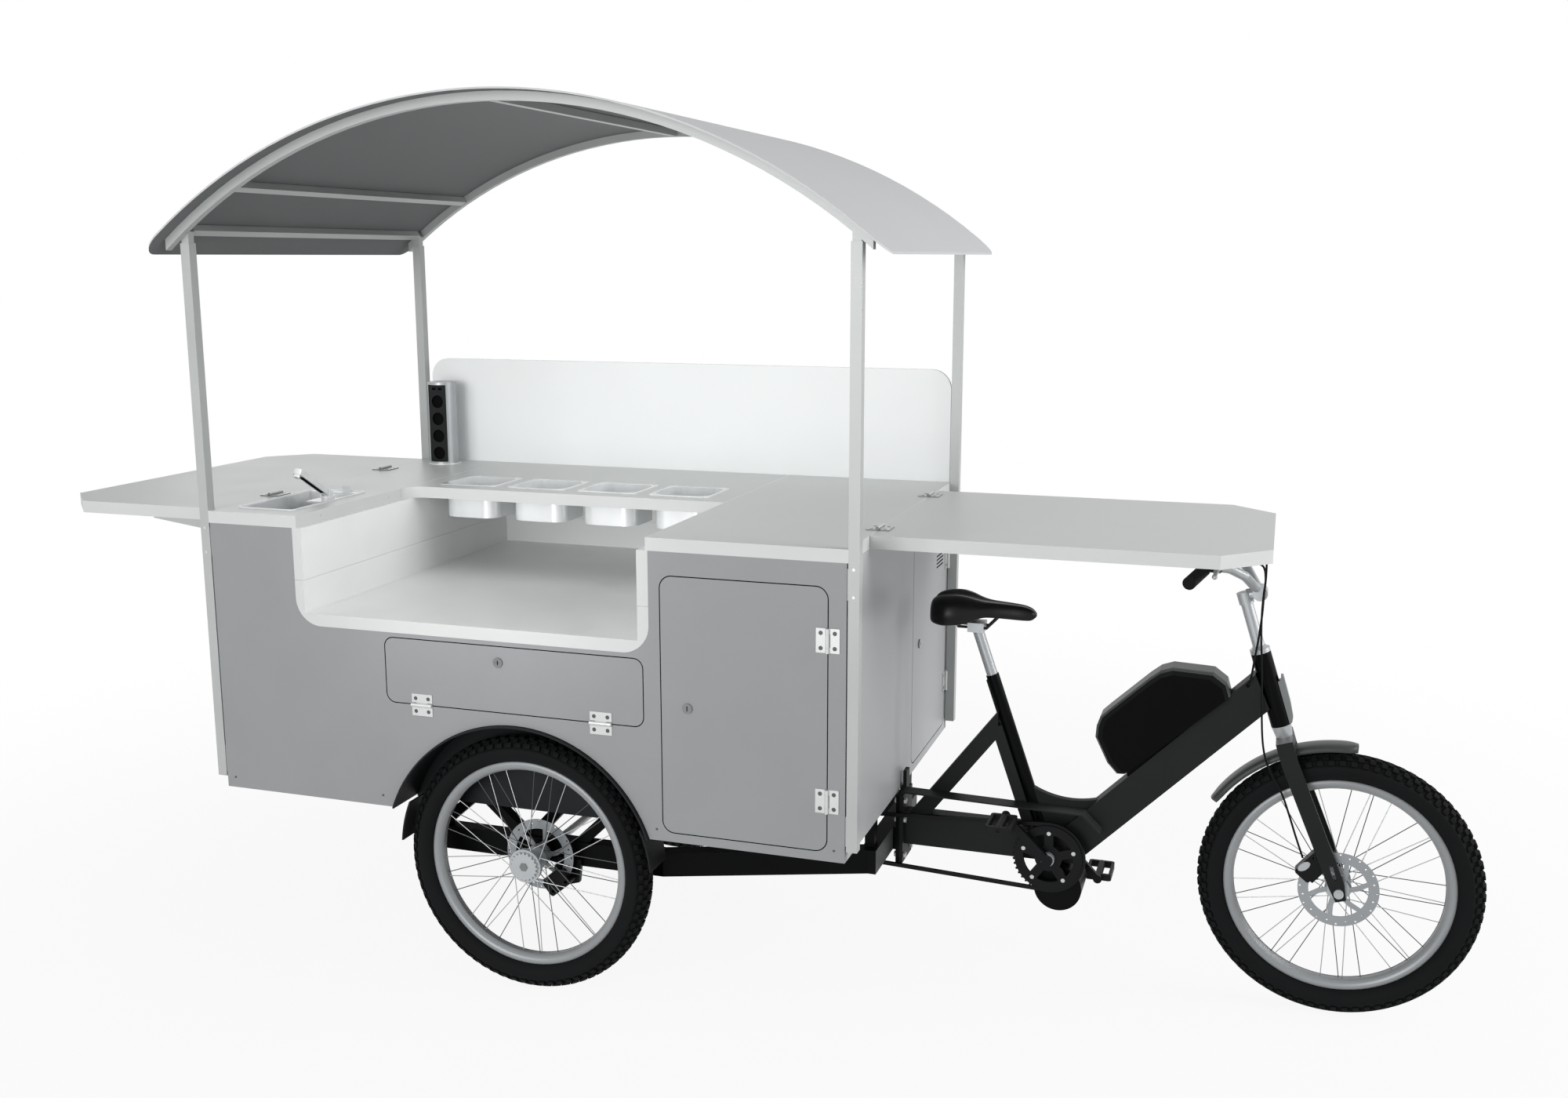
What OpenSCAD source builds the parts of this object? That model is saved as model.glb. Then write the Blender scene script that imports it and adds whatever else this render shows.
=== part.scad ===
// Bicycle food cart: a three-wheeled pedal cart with a service cabinet, an arched roof, two flap tables and a
// steered front wheel. Millimetres. +X is the way it rides, +Y is its left, Z = 0 is the ground.

/* [Cabinet] */
// thickness of the worktop and of both tables
worktop_t = 30; // [26:1:32]
// thickness of the cabinet panels, doors and floor
panel_t = 18; // [16:1:20]
// gap around each door and flap
door_gap = 2.5; // [1:0.5:3]
// height of the splash panel above the worktop
splash_h = 310; // [200:5:400]

/* [Tables] */
// length of the front table
front_table_l = 863; // [700:1:863]
// width of the front table
front_table_w = 704; // [640:2:720]
// length of the rear table
rear_table_l = 513; // [360:1:514]
// width of the rear table
rear_table_w = 994; // [900:2:996]
// cut at the outer corners of both tables
table_chamfer = 104; // [40:1:120]

/* [Fittings] */
// depth of the four pans
pan_depth = 90; // [60:1:100]
// gap from pan to pan
pan_gap = 49; // [46:1:56]
// height of the socket tower above the worktop
tower_h = 246; // [180:1:250]
// depth of the sink basin
basin_depth = 120; // [80:1:150]

/* [Roof] */
// half width of the roof sheet
roof_half_w = 587; // [570:1:610]
// thickness of the roof sheet
roof_t = 4; // [3:0.5:5]
// outer side of the post sleeves
sleeve_w = 25; // [24.5:0.5:27]

/* [Wheels] */
// width of the tyres
tyre_w = 66; // [60:1:70]
// spokes in each wheel
spoke_n = 36; // [24:4:36]
// outer radius of the brake discs
rotor_r = 90; // [84:1:94]

/* [Drive] */
// length of the crank arms
crank_l = 147; // [140:1:152]
// teeth on the chainring
ring_teeth = 42; // [40:1:43]
// teeth on the sprocket of the rear axle
sprocket_teeth = 13; // [12:1:16]

/* [Handlebar] */
// radius of the grips
grip_r = 14.5; // [13.5:0.5:15]
// radius of the bar tube
bar_r = 11; // [10:0.5:11.5]

/* [Hidden] */
$fn = 64;

// the cabinet's rear face lies this far behind the middle of the whole cart
origin_x = 1245.5;
// running fit of a pin or shaft, and clearance between sliding flats
fit = 0.05;
slack = 0.5;

// the cabinet in three bays, from its rear face: sink bay, well bay and door bay
sink_bay = 250;
well_bay = 914;
door_bay = 469;
cab_l = sink_bay + well_bay + door_bay;
cab_hw = 528.5;
cab_z = 441;
top_z = 1152.3;
under_z = top_z - worktop_t;
lip = 3;
seam = 0.6;
in_hw = cab_hw - panel_t;

// rear axle, measured from the cabinet's front face as all the running gear is
axle_x = -809.6;
tyre_r = 320;
track = cab_hw - 56.5;
arch_r = tyre_r + 41;
guard_r = arch_r - 1;
arch_x = cab_l + axle_x;

// notch of the worktop over the well
notch_x0 = sink_bay;
notch_x1 = sink_bay + well_bay;
notch_y = -12;
notch_r = 50;

// openings of the near side, as [x0, z0, x1, z1]
well_cut = [notch_x0 - 13.5, top_z - 270.3, notch_x1 + 6, top_z + 150];
flap_cut = [notch_x0 + 229, arch_r + tyre_r + 27, notch_x1 - 9, well_cut[1] - 10];
door_cut = [cab_l - 437, cab_z + 21, cab_l - 40, under_z - 53.3];
// opening of the front door, as [y0, z0, y1, z1]
front_cut = [cab_hw - 428.5, cab_z + 21, cab_hw - 31.5, under_z - 53.3];
well_floor_t = 31;
well_back_y = in_hw - 3.5;
well_seam_z = under_z - 128.3;

// sink rim and basin, as [x0, y0, x1, y1], the near corner of the ledge in the basin, and tap and tower
sink_y = 58.5 - cab_hw;
sink_rim = [36.6, sink_y, 200, sink_y + 322];
basin = [46, sink_y + 8, 190, sink_y + 292];
ledge = [104, sink_y + 191];
tap_p = [154, sink_y + 208, top_z + 13.7];
tower_p = [90, cab_hw - 87.5];
tower_r = 42;

// four pans share the length of the well bay
pan_edge = 62;
pan_l = (well_bay - 2 * pan_edge - 11 - 3 * pan_gap) / 4;
pan_pitch = pan_l + pan_gap;
pan_w = 152;
pan_r = 38;
pan_box = [-pan_l / 2, -pan_w / 2, pan_l / 2, pan_w / 2];
pan_flange = 6;
pan_x0 = notch_x0 + pan_edge + pan_l / 2;
pan_y = 126;

// hinges
hinge_h = 55;
hinge_leaf = 27;
hinge_t = 2.5;
hinge_up = 5;
knuckle_r = 4.5;
hinge_pin_r = 2.5;
hinge_mid = 14.5;

// swinging brackets under the rear table
bracket_y = rear_table_w / 2 - 9;
bracket_z = under_z - 4;

// roof
roof_x = cab_l / 2;
roof_top = 2125;
roof_r = 1375;
roof_z = roof_top - roof_r;
roof_half_l = cab_l / 2 + 97.5;
roof_corner = 50;
rib_w = 20;
rib_half_l = cab_l / 2 + 55.5;
rib_y = cab_hw - 2.5;
rib_r1 = roof_r - roof_t - 0.2;
rib_r0 = rib_r1 - rib_w;
tube_w = 20;
// gap where tubes of the roof frame are joined, so that each stays a piece of its own
weld_gap = 0.2;
post_y = rib_y - tube_w / 2;
post_gap = lip;
post_x0 = -post_gap - sleeve_w / 2;
post_x1 = cab_l + post_gap + sleeve_w / 2;
// the posts end beside the ribs
post_top = roof_z + sqrt(pow(rib_r0, 2) - pow(post_x1 - roof_x, 2)) + 12;
sleeve_z0 = cab_z + 27;
sleeve_z1 = post_top - 34.5;
tube_z0 = top_z + 97.7;
collar_h = 7;

// chassis
rail_z0 = 289;
rail_z1 = 349;
rail_y1 = track - 82;
rail_y0 = rail_y1 - 40;
wall = 3;
shaft_r = 10;
rail_x0 = axle_x - 323.4;
rail_x1 = axle_x + 306.6;
beam_x0 = -49;
beam_x1 = -9;
flange_x = 8;
flange_t = 9;
flange_z0 = 256;
flange_z1 = 435;

// bike frame
frame_hw = 25;
crank_p = [387, 325];
ring_y = -64;
pitch = 12.7;
ring_r = pitch / (2 * sin(180 / ring_teeth));
sprocket_r = pitch / (2 * sin(180 / sprocket_teeth));
link_h = 4.5;
plate_in = 2.4;
plate_out = 4;
spindle_r = 9;
motor_p = [409, 241];
motor_r = 58;
seat_top = [225.5, 757];
seat_foot = [350.5, 400];
seat_tilt = atan2(seat_foot[0] - seat_top[0], seat_top[1] - seat_foot[1]);
seat_len = norm(seat_top - seat_foot);
seat_tube_r = 16;
post_r = 13.6;
crank_angle = 135;
arm_y0 = 84;
arm_y1 = 96;
pedal_pin_r = 5;
pedal_hw = 47.5;

// steering
steer_p = [910.5, 0, 683];
steer_tilt = 18;
front_s = -390;
front_t = 25.7;
steerer_r = 14;
head_r = 23;
head_s0 = 12;
head_s1 = 190;
leg_y0 = 52.5;
leg_y1 = 62.5;
front_axle_r = 6;
front_rotor_y = -38;
rear_rotor_y = track - 51;
rotor_t = 2;
rotor_slot = 1.4;

// bar, drawn for the right side and mirrored
bar_1 = [843, 0, 1006];
bar_2 = [808, -58, 1053];
bar_3 = [775, -92, 1075];
bar_4 = [729, -120, 1084];
bar_5 = [697, -260, 1071];
bar_turn = atan2(bar_5[1] - bar_4[1], bar_5[0] - bar_4[0]);
lever_out = 27;
lever_p = bar_4 + 15 * [cos(bar_turn), sin(bar_turn), 0] + lever_out * [-sin(bar_turn), cos(bar_turn), -0.02];

// colours
grey = [0.61, 0.615, 0.62];
pale = [0.84, 0.85, 0.85];
white = [0.93, 0.94, 0.94];
black = [0.10, 0.105, 0.105];
steel = [0.75, 0.76, 0.77];
rubber = [0.06, 0.06, 0.065];
dark = [0.16, 0.16, 0.165];

// moves the cabinet's rear face to its place in the shared frame
module place() {
  translate([-origin_x, 0, 0]) children();
}

// the same for what is measured from the cabinet's front face: chassis, wheels and cycle
module place_front() {
  translate([cab_l - origin_x, 0, 0]) children();
}

// flat shapes drawn in XZ, YZ and XY and given a thickness
module in_xz(y0, y1) {
  translate([0, y1, 0]) rotate([90, 0, 0]) linear_extrude(y1 - y0) children();
}

module in_yz(x0, x1) {
  translate([x0, 0, 0]) rotate([90, 0, 90]) linear_extrude(x1 - x0) children();
}

module in_xy(z0, z1) {
  translate([0, 0, z0]) linear_extrude(z1 - z0) children();
}

module both_sides() {
  children();
  mirror([0, 1, 0]) children();
}

module box2(b) {
  translate([b[0], b[1]]) square([b[2] - b[0], b[3] - b[1]]);
}

// rectangle [x0, y0, x1, y1] with all four corners rounded
module round_box(b, r) {
  box2([b[0] + r, b[1], b[2] - r, b[3]]);
  box2([b[0], b[1] + r, b[2], b[3] - r]);
  for (x = [b[0] + r, b[2] - r])
    for (y = [b[1] + r, b[3] - r])
      translate([x, y]) circle(r);
}

function grow(b, d) = [b[0] - d, b[1] - d, b[2] + d, b[3] + d];

module rod(p, q, r) {
  d = q - p;
  translate(p)
    rotate([0, acos(d[2] / norm(d)), atan2(d[1], d[0])])
      cylinder(h = norm(d), r = r);
}

module rod_y(x, z, y0, y1, r) {
  translate([x, y0, z]) rotate([-90, 0, 0]) cylinder(h = y1 - y0, r = r);
}

// sector of a ring in its own plane, from angle a to angle b, below half a turn
module ring_sector(r0, r1, a, b) {
  far = r1 / cos((b - a) / 4) + 1;
  m = (a + b) / 2;
  difference() {
    intersection() {
      circle(r1, $fn = 128);
      polygon([[0, 0], far * [cos(a), sin(a)], far * [cos(m), sin(m)], far * [cos(b), sin(b)]]);
    }
    circle(r0, $fn = 128);
  }
}

// points of a smooth line through the given ones
function smooth(p, n) = [for (i = [0 : len(p) - 2]) for (k = [0 : n - 1])
    let(t = k / n, a = p[max(i - 1, 0)], b = p[i], c = p[i + 1], d = p[min(i + 2, len(p) - 1)])
      0.5 * (2 * b + t * (c - a) + t * t * (2 * a - 5 * b + 4 * c - d) + t * t * t * (3 * b - a - 3 * c + d)),
  p[len(p) - 1]];
function unit(v) = v / norm(v);

// round cord along a line of points
module cord(p, r) {
  q = smooth(p, 5);
  n = len(q);
  m = 8;
  dir = [for (i = [0 : n - 1]) unit(q[min(i + 1, n - 1)] - q[max(i - 1, 0)])];
  side = [for (i = [0 : n - 1]) unit(cross(dir[i], [0.9, 0.4, 0.15]))];
  rings = [for (i = [0 : n - 1]) for (k = [0 : m - 1])
    let(a = 360 * k / m) q[i] + r * (cos(a) * side[i] + sin(a) * cross(dir[i], side[i]))];
  walls = [for (i = [0 : n - 2]) for (k = [0 : m - 1])
    let(a = i * m + k, b = i * m + (k + 1) % m) each [[a, a + m, b], [b, a + m, b + m]]];
  caps = [[for (k = [0 : m - 1]) k], [for (k = [m - 1 : -1 : 0]) (n - 1) * m + k]];
  polyhedron(rings, concat(walls, caps));
}

// half of a butt hinge that stays: it lies on z = 0 with its pin along Y and its leaf towards +X
module hinge_fixed() {
  difference() {
    union() {
      translate([1, -hinge_h / 2, 0]) cube([hinge_leaf - 1, hinge_h, hinge_t]);
      translate([0, -hinge_h / 2, hinge_up]) rotate([-90, 0, 0]) cylinder(h = hinge_h, r = knuckle_r);
    }
    translate([-knuckle_r - 1, -hinge_mid - 0.3, -1]) cube([2 * knuckle_r + 2, 2 * hinge_mid + 0.6, 20]);
    for (y = [-17, 17]) translate([16, y, -1]) cylinder(h = 9, r = 4.9);
  }
  translate([0, -hinge_mid - 3, hinge_up]) rotate([-90, 0, 0])
    cylinder(h = 2 * hinge_mid + 6, r = hinge_pin_r);
  for (y = [-17, 17]) translate([16, y, 0]) cylinder(h = hinge_t - 0.6, r = 4.6);
}

// half of the hinge that moves, with its leaf towards -X
module hinge_moving() {
  difference() {
    union() {
      translate([-hinge_leaf, -hinge_h / 2, 0]) cube([hinge_leaf - 1, hinge_h, hinge_t]);
      translate([0, -hinge_mid, hinge_up]) rotate([-90, 0, 0]) cylinder(h = 2 * hinge_mid, r = knuckle_r);
    }
    for (y = [-hinge_h, hinge_mid])
      translate([-knuckle_r - 1, y, -1]) cube([2 * knuckle_r + 2, hinge_h - hinge_mid, 20]);
    translate([0, -hinge_h, hinge_up]) rotate([-90, 0, 0]) cylinder(h = 2 * hinge_h, r = hinge_pin_r + fit);
    for (y = [-17, 17]) translate([-16, y, -1]) cylinder(h = 9, r = 4.9);
  }
  for (y = [-17, 17]) translate([-16, y, 0]) cylinder(h = hinge_t - 0.6, r = 4.6);
}

// places of the hinges
module at_side_door() {
  for (z = [door_cut[1] + 120, door_cut[3] - 120.4])
    translate([door_cut[2] - door_gap / 2, -cab_hw, z]) rotate([90, 0, 0]) children();
}

module at_side_flap() {
  for (x = [flap_cut[0] + 98.5, flap_cut[2] - 108])
    translate([x, -cab_hw, flap_cut[1] + door_gap / 2]) rotate([0, 90, 0]) rotate([90, 0, 0]) children();
}

module at_front_door() {
  for (z = [front_cut[1] + 127, front_cut[3] - 127.5])
    translate([cab_l, front_cut[2] - door_gap / 2, z]) rotate([90, 0, 90]) children();
}

module at_front_table() {
  for (y = [-260, 260]) translate([cab_l + lip + seam / 2, y, top_z]) rotate([0, 0, 180]) children();
}

module at_rear_table() {
  for (y = [-260, 260]) translate([-lip - seam / 2, y, top_z]) children();
}

module at_brackets() {
  for (y = [-bracket_y, bracket_y]) translate([-11, y, 0]) children();
}

// slanted strut between rail and cabinet floor, from one middle to the other
module strut(foot, head) {
  polygon([[foot - 20, rail_z1 - 1], [foot + 20, rail_z1 - 1],
    [head + 20, cab_z - 1], [head - 20, cab_z - 1]]);
}

module chassis_frame() {
  color(black) place_front() {
    difference() {
      union() {
        both_sides() {
          in_xy(rail_z0, rail_z1) polygon([[rail_x0, -rail_y1], [rail_x1 + 7, -rail_y1], [beam_x1 - 20, -217],
            [beam_x1 - 20, -174], [rail_x1, -rail_y0], [rail_x0, -rail_y0]]);
          in_xz(-rail_y1 + 5, -rail_y0 - 5) {
            for (s = [[-298, -193], [-68, -173], [-38, 47], [92, 187]])
              strut(axle_x + s[0], axle_x + s[1]);
          }
          in_xy(cab_z - 6, cab_z) box2([axle_x - 343, -rail_y1, axle_x + 237, -rail_y0]);
          in_xy(rail_z1 - 1, cab_z) box2([beam_x0 + 6, -195, beam_x1 - 10, -165]);
          rod_y(axle_x, tyre_r, -rail_y1 - 14, -rail_y0 + 14, 28);
        }
        in_xy(rail_z0, rail_z1) box2([beam_x0, -217, beam_x1, 217]);
        in_yz(beam_x1 - 1, flange_x - flange_t + 1) box2([-45, rail_z0, 45, rail_z1]);
        in_yz(flange_x - flange_t, flange_x) box2([-50, flange_z0, 50, flange_z1]);
      }
      both_sides() {
        in_xy(rail_z0 + wall, rail_z1 - wall) {
          box2([rail_x0 - 1, -rail_y1 + wall, axle_x - 35, -rail_y0 - wall]);
          polygon([[axle_x + 35, -rail_y1 + wall], [rail_x1 + 6, -rail_y1 + wall], [beam_x0 - 4, -222],
            [beam_x0 - 4, -185], [rail_x1, -rail_y0 - wall], [axle_x + 35, -rail_y0 - wall]]);
        }
      }
      in_xy(rail_z0 + wall, rail_z1 - wall) box2([beam_x0 + wall, wall - 217, beam_x1 - wall, 218]);
      rod_y(axle_x, tyre_r, -cab_hw, cab_hw, shaft_r + fit);
      coupling_bolts() cylinder(h = 60, r = 5, center = true);
    }
  }
}

module coupling_bolts() {
  for (y = [-36, 36])
    for (z = [274, 368, 418])
      translate([flange_x, y, z]) rotate([0, 90, 0]) children();
}

module cabinet_floor() {
  color(grey) place()
    difference() {
      in_xy(cab_z, cab_z + panel_t) box2([panel_t, -in_hw, cab_l - panel_t, in_hw]);
      both_sides()
        in_xy(cab_z - 1, cab_z + panel_t + 1)
          box2([arch_x - arch_r, -in_hw - 1, arch_x + arch_r, 1 - track + 54]);
    }
}

module side_outline() {
  difference() {
    box2([0, cab_z, cab_l, under_z]);
    translate([arch_x, tyre_r]) circle(arch_r, $fn = 160);
  }
}

module side_panel_right() {
  color(grey) place()
    in_xz(-cab_hw, -in_hw)
      difference() {
        side_outline();
        round_box(well_cut, 67);
        round_box(flap_cut, 25);
        round_box(door_cut, 30);
      }
}

module side_panel_left() {
  color(grey) place() in_xz(in_hw, cab_hw) side_outline();
}

module rear_panel() {
  color(grey) place() in_yz(0, panel_t) box2([-in_hw, cab_z, in_hw, under_z]);
}

module front_panel() {
  color(grey) place()
    in_yz(cab_l - panel_t, cab_l)
      difference() {
        box2([-in_hw, cab_z, in_hw, under_z]);
        round_box(front_cut, 30);
      }
}

module well_liner() {
  x0 = well_cut[0] + 25.5;
  x1 = well_cut[2] - 28;
  z0 = well_cut[1];
  zf = z0 + well_floor_t;
  back = well_back_y - 10;
  color(white) place() {
    in_xz(-cab_hw, back)
      difference() {
        intersection() {
          round_box([well_cut[0] + 0.3, z0 + 0.3, well_cut[2] - 0.3, well_cut[3]], 67);
          box2([0, z0, cab_l, well_seam_z - seam / 2]);
        }
        box2([x0, zf, x1, well_cut[3]]);
      }
    in_xz(back, well_back_y) box2([well_cut[0], z0, well_cut[2], well_seam_z - seam / 2]);
    in_xy(well_seam_z + seam / 2, under_z) {
      box2([well_cut[0] + 0.3, -cab_hw, x0, back]);
      box2([x1, -cab_hw, well_cut[2] - 0.3, back]);
      box2([well_cut[0], back, well_cut[2], well_back_y]);
    }
  }
}

module pan_place(i) {
  translate([pan_x0 + i * pan_pitch, pan_y, top_z]) children();
}

module worktop() {
  color(pale) place()
    difference() {
      in_xy(under_z, top_z) {
        box2([-lip, -cab_hw, notch_x0 - seam, cab_hw]);
        box2([notch_x1, -cab_hw, cab_l + lip, cab_hw]);
        difference() {
          union() {
            box2([notch_x0, notch_y, notch_x1 - seam, cab_hw]);
            box2([notch_x0, notch_y - notch_r, notch_x0 + notch_r, notch_y + 1]);
          }
          translate([notch_x0 + notch_r, notch_y - notch_r]) circle(notch_r);
        }
      }
      in_xy(under_z - 1, top_z + 1) {
        box2(grow(basin, 2));
        translate(tower_p) circle(tower_r + 4);
        for (i = [0 : 3])
          translate([pan_x0 + i * pan_pitch, pan_y])
            round_box(grow(pan_box, 1), pan_r + 1);
      }
    }
}

module splash_panel() {
  r = 55;
  x0 = 14;
  x1 = cab_l - 1;
  color(white) place()
    in_xz(cab_hw - 12, cab_hw) {
      box2([x0, top_z, x1, top_z + splash_h - r]);
      box2([x0 + r, top_z, x1 - r, top_z + splash_h]);
      for (x = [x0 + r, x1 - r]) translate([x, top_z + splash_h - r]) circle(r);
    }
}

module square_tube(w, t, z0, z1) {
  difference() {
    in_xy(z0, z1) box2([-w / 2, -w / 2, w / 2, w / 2]);
    in_xy(z0 - 1, z1 + 1) box2([t - w / 2, t - w / 2, w / 2 - t, w / 2 - t]);
  }
}

module post_sleeves() {
  color(pale) place()
    for (y = [-post_y, post_y]) {
      for (x = [post_x0, post_x1])
        translate([x, y, 0]) square_tube(sleeve_w, (sleeve_w - tube_w) / 2 - slack, sleeve_z0, sleeve_z1);
      for (z = [cab_z + 39, under_z - 82.3]) {
        in_xy(z, z + 70) box2([-post_gap, y - 10, 0, y + 10]);
        in_xy(z, z + 70) box2([cab_l, y - 10, cab_l + post_gap, y + 10]);
      }
    }
}

module hinges_and_screws() {
  color(steel) place() {
    at_side_door() hinge_fixed();
    at_side_flap() hinge_fixed();
    at_front_door() hinge_fixed();
    at_front_table() hinge_fixed();
    at_rear_table() hinge_fixed();
    at_brackets() {
      in_xy(bracket_z - 48, bracket_z) box2([8, -14, 11, 14]);
      for (z = [bracket_z - 48, bracket_z - 6]) in_xy(z, z + 6) box2([-6, -6, 9, 6]);
      in_xy(bracket_z - 47, bracket_z - 1) circle(4);
    }
    translate([cab_l, 0, 0]) coupling_bolts() {
      translate([0, 0, -flange_t - 6]) cylinder(h = 6, r = 8, $fn = 6);
      translate([0, 0, -flange_t]) cylinder(h = 2 * flange_t, r = 4.8);
      translate([0, 0, flange_t]) cylinder(h = 6, r = 8, $fn = 6);
    }
    for (x = [post_x0, post_x1])
      for (z = [under_z - 74.3, under_z - 13.3])
        both_sides()
          translate([x, -post_y - sleeve_w / 2, z]) rotate([90, 0, 0]) cylinder(h = 1.2, r = 3.4);
    for (x = [24, arch_x - 368.4, arch_x + 358.6, cab_l - 25])
      translate([x, -cab_hw, cab_z + 27]) rotate([90, 0, 0]) cylinder(h = 0.8, r = 3);
    for (y = [notch_y - 111, 102.5 - cab_hw])
      translate([notch_x0 - seam, y, top_z - 15]) rotate([0, 90, 0]) cylinder(h = 0.8, r = 3);
  }
}

module sink() {
  t = 1.2;
  z0 = top_z - basin_depth;
  color(steel) place() {
    difference() {
      union() {
        in_xy(top_z, top_z + 3) round_box(sink_rim, 12);
        in_xy(z0, top_z + 0.5) box2(basin);
      }
      in_xy(top_z + 1, top_z + 4) round_box(grow(sink_rim, -4), 8);
      in_xy(z0 + t, top_z + 4) box2(grow(basin, -t));
      translate([(basin[0] + basin[2]) / 2, (basin[1] + ledge[1]) / 2, z0 - 1]) cylinder(h = 9, r = 20);
    }
    in_xy(top_z - 12, top_z - 8) box2([ledge[0], ledge[1], basin[2] - 0.5, basin[3] - 0.5]);
    translate([tap_p[0], tap_p[1] + 6, top_z - 9]) cylinder(h = 15, r = 17);
    for (x = [-15, 11])
      translate([tap_p[0] + x, tap_p[1] - 6, top_z + 1]) cube([4, 14, tap_p[2] - top_z + 5]);
    translate([tap_p[0] - 15, tap_p[1], tap_p[2]]) rotate([0, 90, 0]) cylinder(h = 30, r = 3);
    translate([134, sink_rim[3] - 13, top_z + 0.5]) cube([24, 3, 16]);
  }
}

module tower_ring() {
  color(steel) place()
    translate([tower_p[0], tower_p[1], 0])
      difference() {
        union() {
          in_xy(top_z, top_z + 3) circle(48.5);
          in_xy(under_z, top_z + 1) circle(tower_r + 3.6);
        }
        in_xy(under_z - 1, top_z + 4) circle(tower_r + slack);
      }
}

module water_tanks() {
  color(pale) place()
    for (y = [40.5 - in_hw, 260.5 - in_hw])
      translate([0, y, cab_z + panel_t]) {
        difference() {
          in_xy(0, 320) round_box([34, 0, 214, 190], 22);
          in_xy(4, 316) round_box([38, 4, 210, 186], 18);
          in_xy(300, 330) translate([80, 95]) circle(22);
        }
        in_xy(320, 338) translate([80, 95]) circle(27);
      }
}

module rear_mudguards() {
  w = 4;
  a = asin((cab_z - tyre_r) / guard_r);
  strip_r = tyre_r + 15;
  b = asin((cab_z + 10 - tyre_r) / strip_r);
  color(black) place_front()
    both_sides()
      translate([axle_x, 0, tyre_r]) {
        in_xz(-cab_hw - 10, 54 - track) ring_sector(guard_r - w, guard_r, a, 180 - a);
        in_xz(-cab_hw + 18, 54 - track) {
          ring_sector(strip_r - w, strip_r, 5, b);
          ring_sector(strip_r - w, strip_r, 180 - b, 175);
        }
        in_xz(51 - track, 54 - track)
          intersection() {
            circle(guard_r - 1, $fn = 128);
            box2([-guard_r, cab_z - 9 - tyre_r, guard_r, guard_r]);
          }
      }
}

// caliper body around a disc at y = 0, drawn above the axle with its middle at the disc's edge
module caliper(y0, y1) {
  difference() {
    in_xz(y0, y1) {
      round_box([-34, rotor_r - 30, 34, rotor_r + 12], 7);
      box2([-26, rotor_r - 36, 26, rotor_r - 20]);
    }
    in_xz(-rotor_t / 2 - rotor_slot, rotor_t / 2 + rotor_slot) box2([-40, 0, 40, rotor_r + 3]);
    in_xz(y0 - 1, y1 + 1) for (x = [-22, 22]) translate([x, rotor_r + 2]) circle(4);
  }
}

module rear_calipers() {
  color(dark) place_front()
    both_sides() {
      translate([axle_x, -rear_rotor_y, tyre_r]) rotate([0, 140, 0]) caliper(-20, 20);
      in_xz(-rear_rotor_y + 19, -rail_y1)
        translate([axle_x, rail_z0])
          polygon([[38.6, 20], [101.6, 20], [94.6, -39], [48.6, -53], [18.6, -27]]);
    }
}

module in_seat_tube() {
  translate([seat_top[0], 0, seat_top[1]]) rotate([0, -seat_tilt, 0]) children();
}

module in_steering() {
  translate(steer_p) rotate([0, -steer_tilt, 0]) children();
}

module bike_frame() {
  color(black) place_front()
    difference() {
      union() {
        in_xz(-frame_hw, frame_hw)
          polygon([[flange_x + flange_t - 1, 300], [445, 300], [879, 734], [843, 815.5], [409.5, 382],
            [flange_x + flange_t - 1, 382]]);
        in_xz(-20, 20) {
          polygon([[27.5, 381], [77.5, 381], [246, 601], [246, 668.5]]);
          translate(seat_top) rotate(seat_tilt)
            box2([-39, -seat_len - 23, -12, -125]);
        }
        in_xz(-9, 9)
          difference() {
            polygon([[347, 381], [410, 381], [539, 510.5], [539, 530], [312, 530]]);
            translate([432, 662]) circle(205, $fn = 128);
          }
        in_yz(flange_x, flange_x + flange_t) box2([-50, flange_z0, 50, flange_z1]);
        in_yz(flange_x, flange_x + flange_t) box2([-16, flange_z1 - 1, 16, 490]);
        rod_y(crank_p[0], crank_p[1], -36, 36, 23);
        in_seat_tube() translate([0, 0, -seat_len - 20]) cylinder(h = seat_len + 20, r = seat_tube_r);
        in_seat_tube() translate([-18, -6, -300]) cube([18, 12, 290]);
        in_steering() translate([0, 0, head_s0]) cylinder(h = head_s1 - head_s0, r = head_r);
        in_steering() in_xz(-12, 12)
          polygon([[20, 14], [26, 14], [31.5, 27], [34.5, 62], [35.3, 126], [30, 128], [28, 118], [20, 116]]);
      }
      in_xz(-frame_hw + wall, frame_hw - wall) {
        polygon([[flange_x + 20, 303], [352, 303], [342, 379], [flange_x + 20, 379]]);
        polygon([[482, 342], [855, 715], [827, 795], [457, 425]]);
      }
      rod_y(crank_p[0], crank_p[1], -40, 40, spindle_r + fit);
      in_seat_tube() translate([0, 0, 6 - seat_len]) cylinder(h = seat_len + 9, r = post_r + fit);
      in_seat_tube() translate([0, 0, -60]) translate([10, -1.2, 0]) cube([20, 2.4, 70]);
      in_steering() translate([0, 0, head_s0 - 1]) cylinder(h = head_s1 - head_s0 + 2, r = steerer_r + fit);
      in_steering() translate([0, 0, head_s0 + 14]) cylinder(h = head_s1 - head_s0 - 28, r = head_r - 4);
      coupling_bolts() cylinder(h = 60, r = 5, center = true);
      rod([828, -40, 796], [828, 0, 775], 4.2);
    }
}

module chain_guard() {
  color(dark) place_front()
    in_xz(-68, -frame_hw)
      polygon([[19, 449], [463, 440], [506, 398], [509, 401], [465, 443.5], [19, 452.5]]);
}

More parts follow.
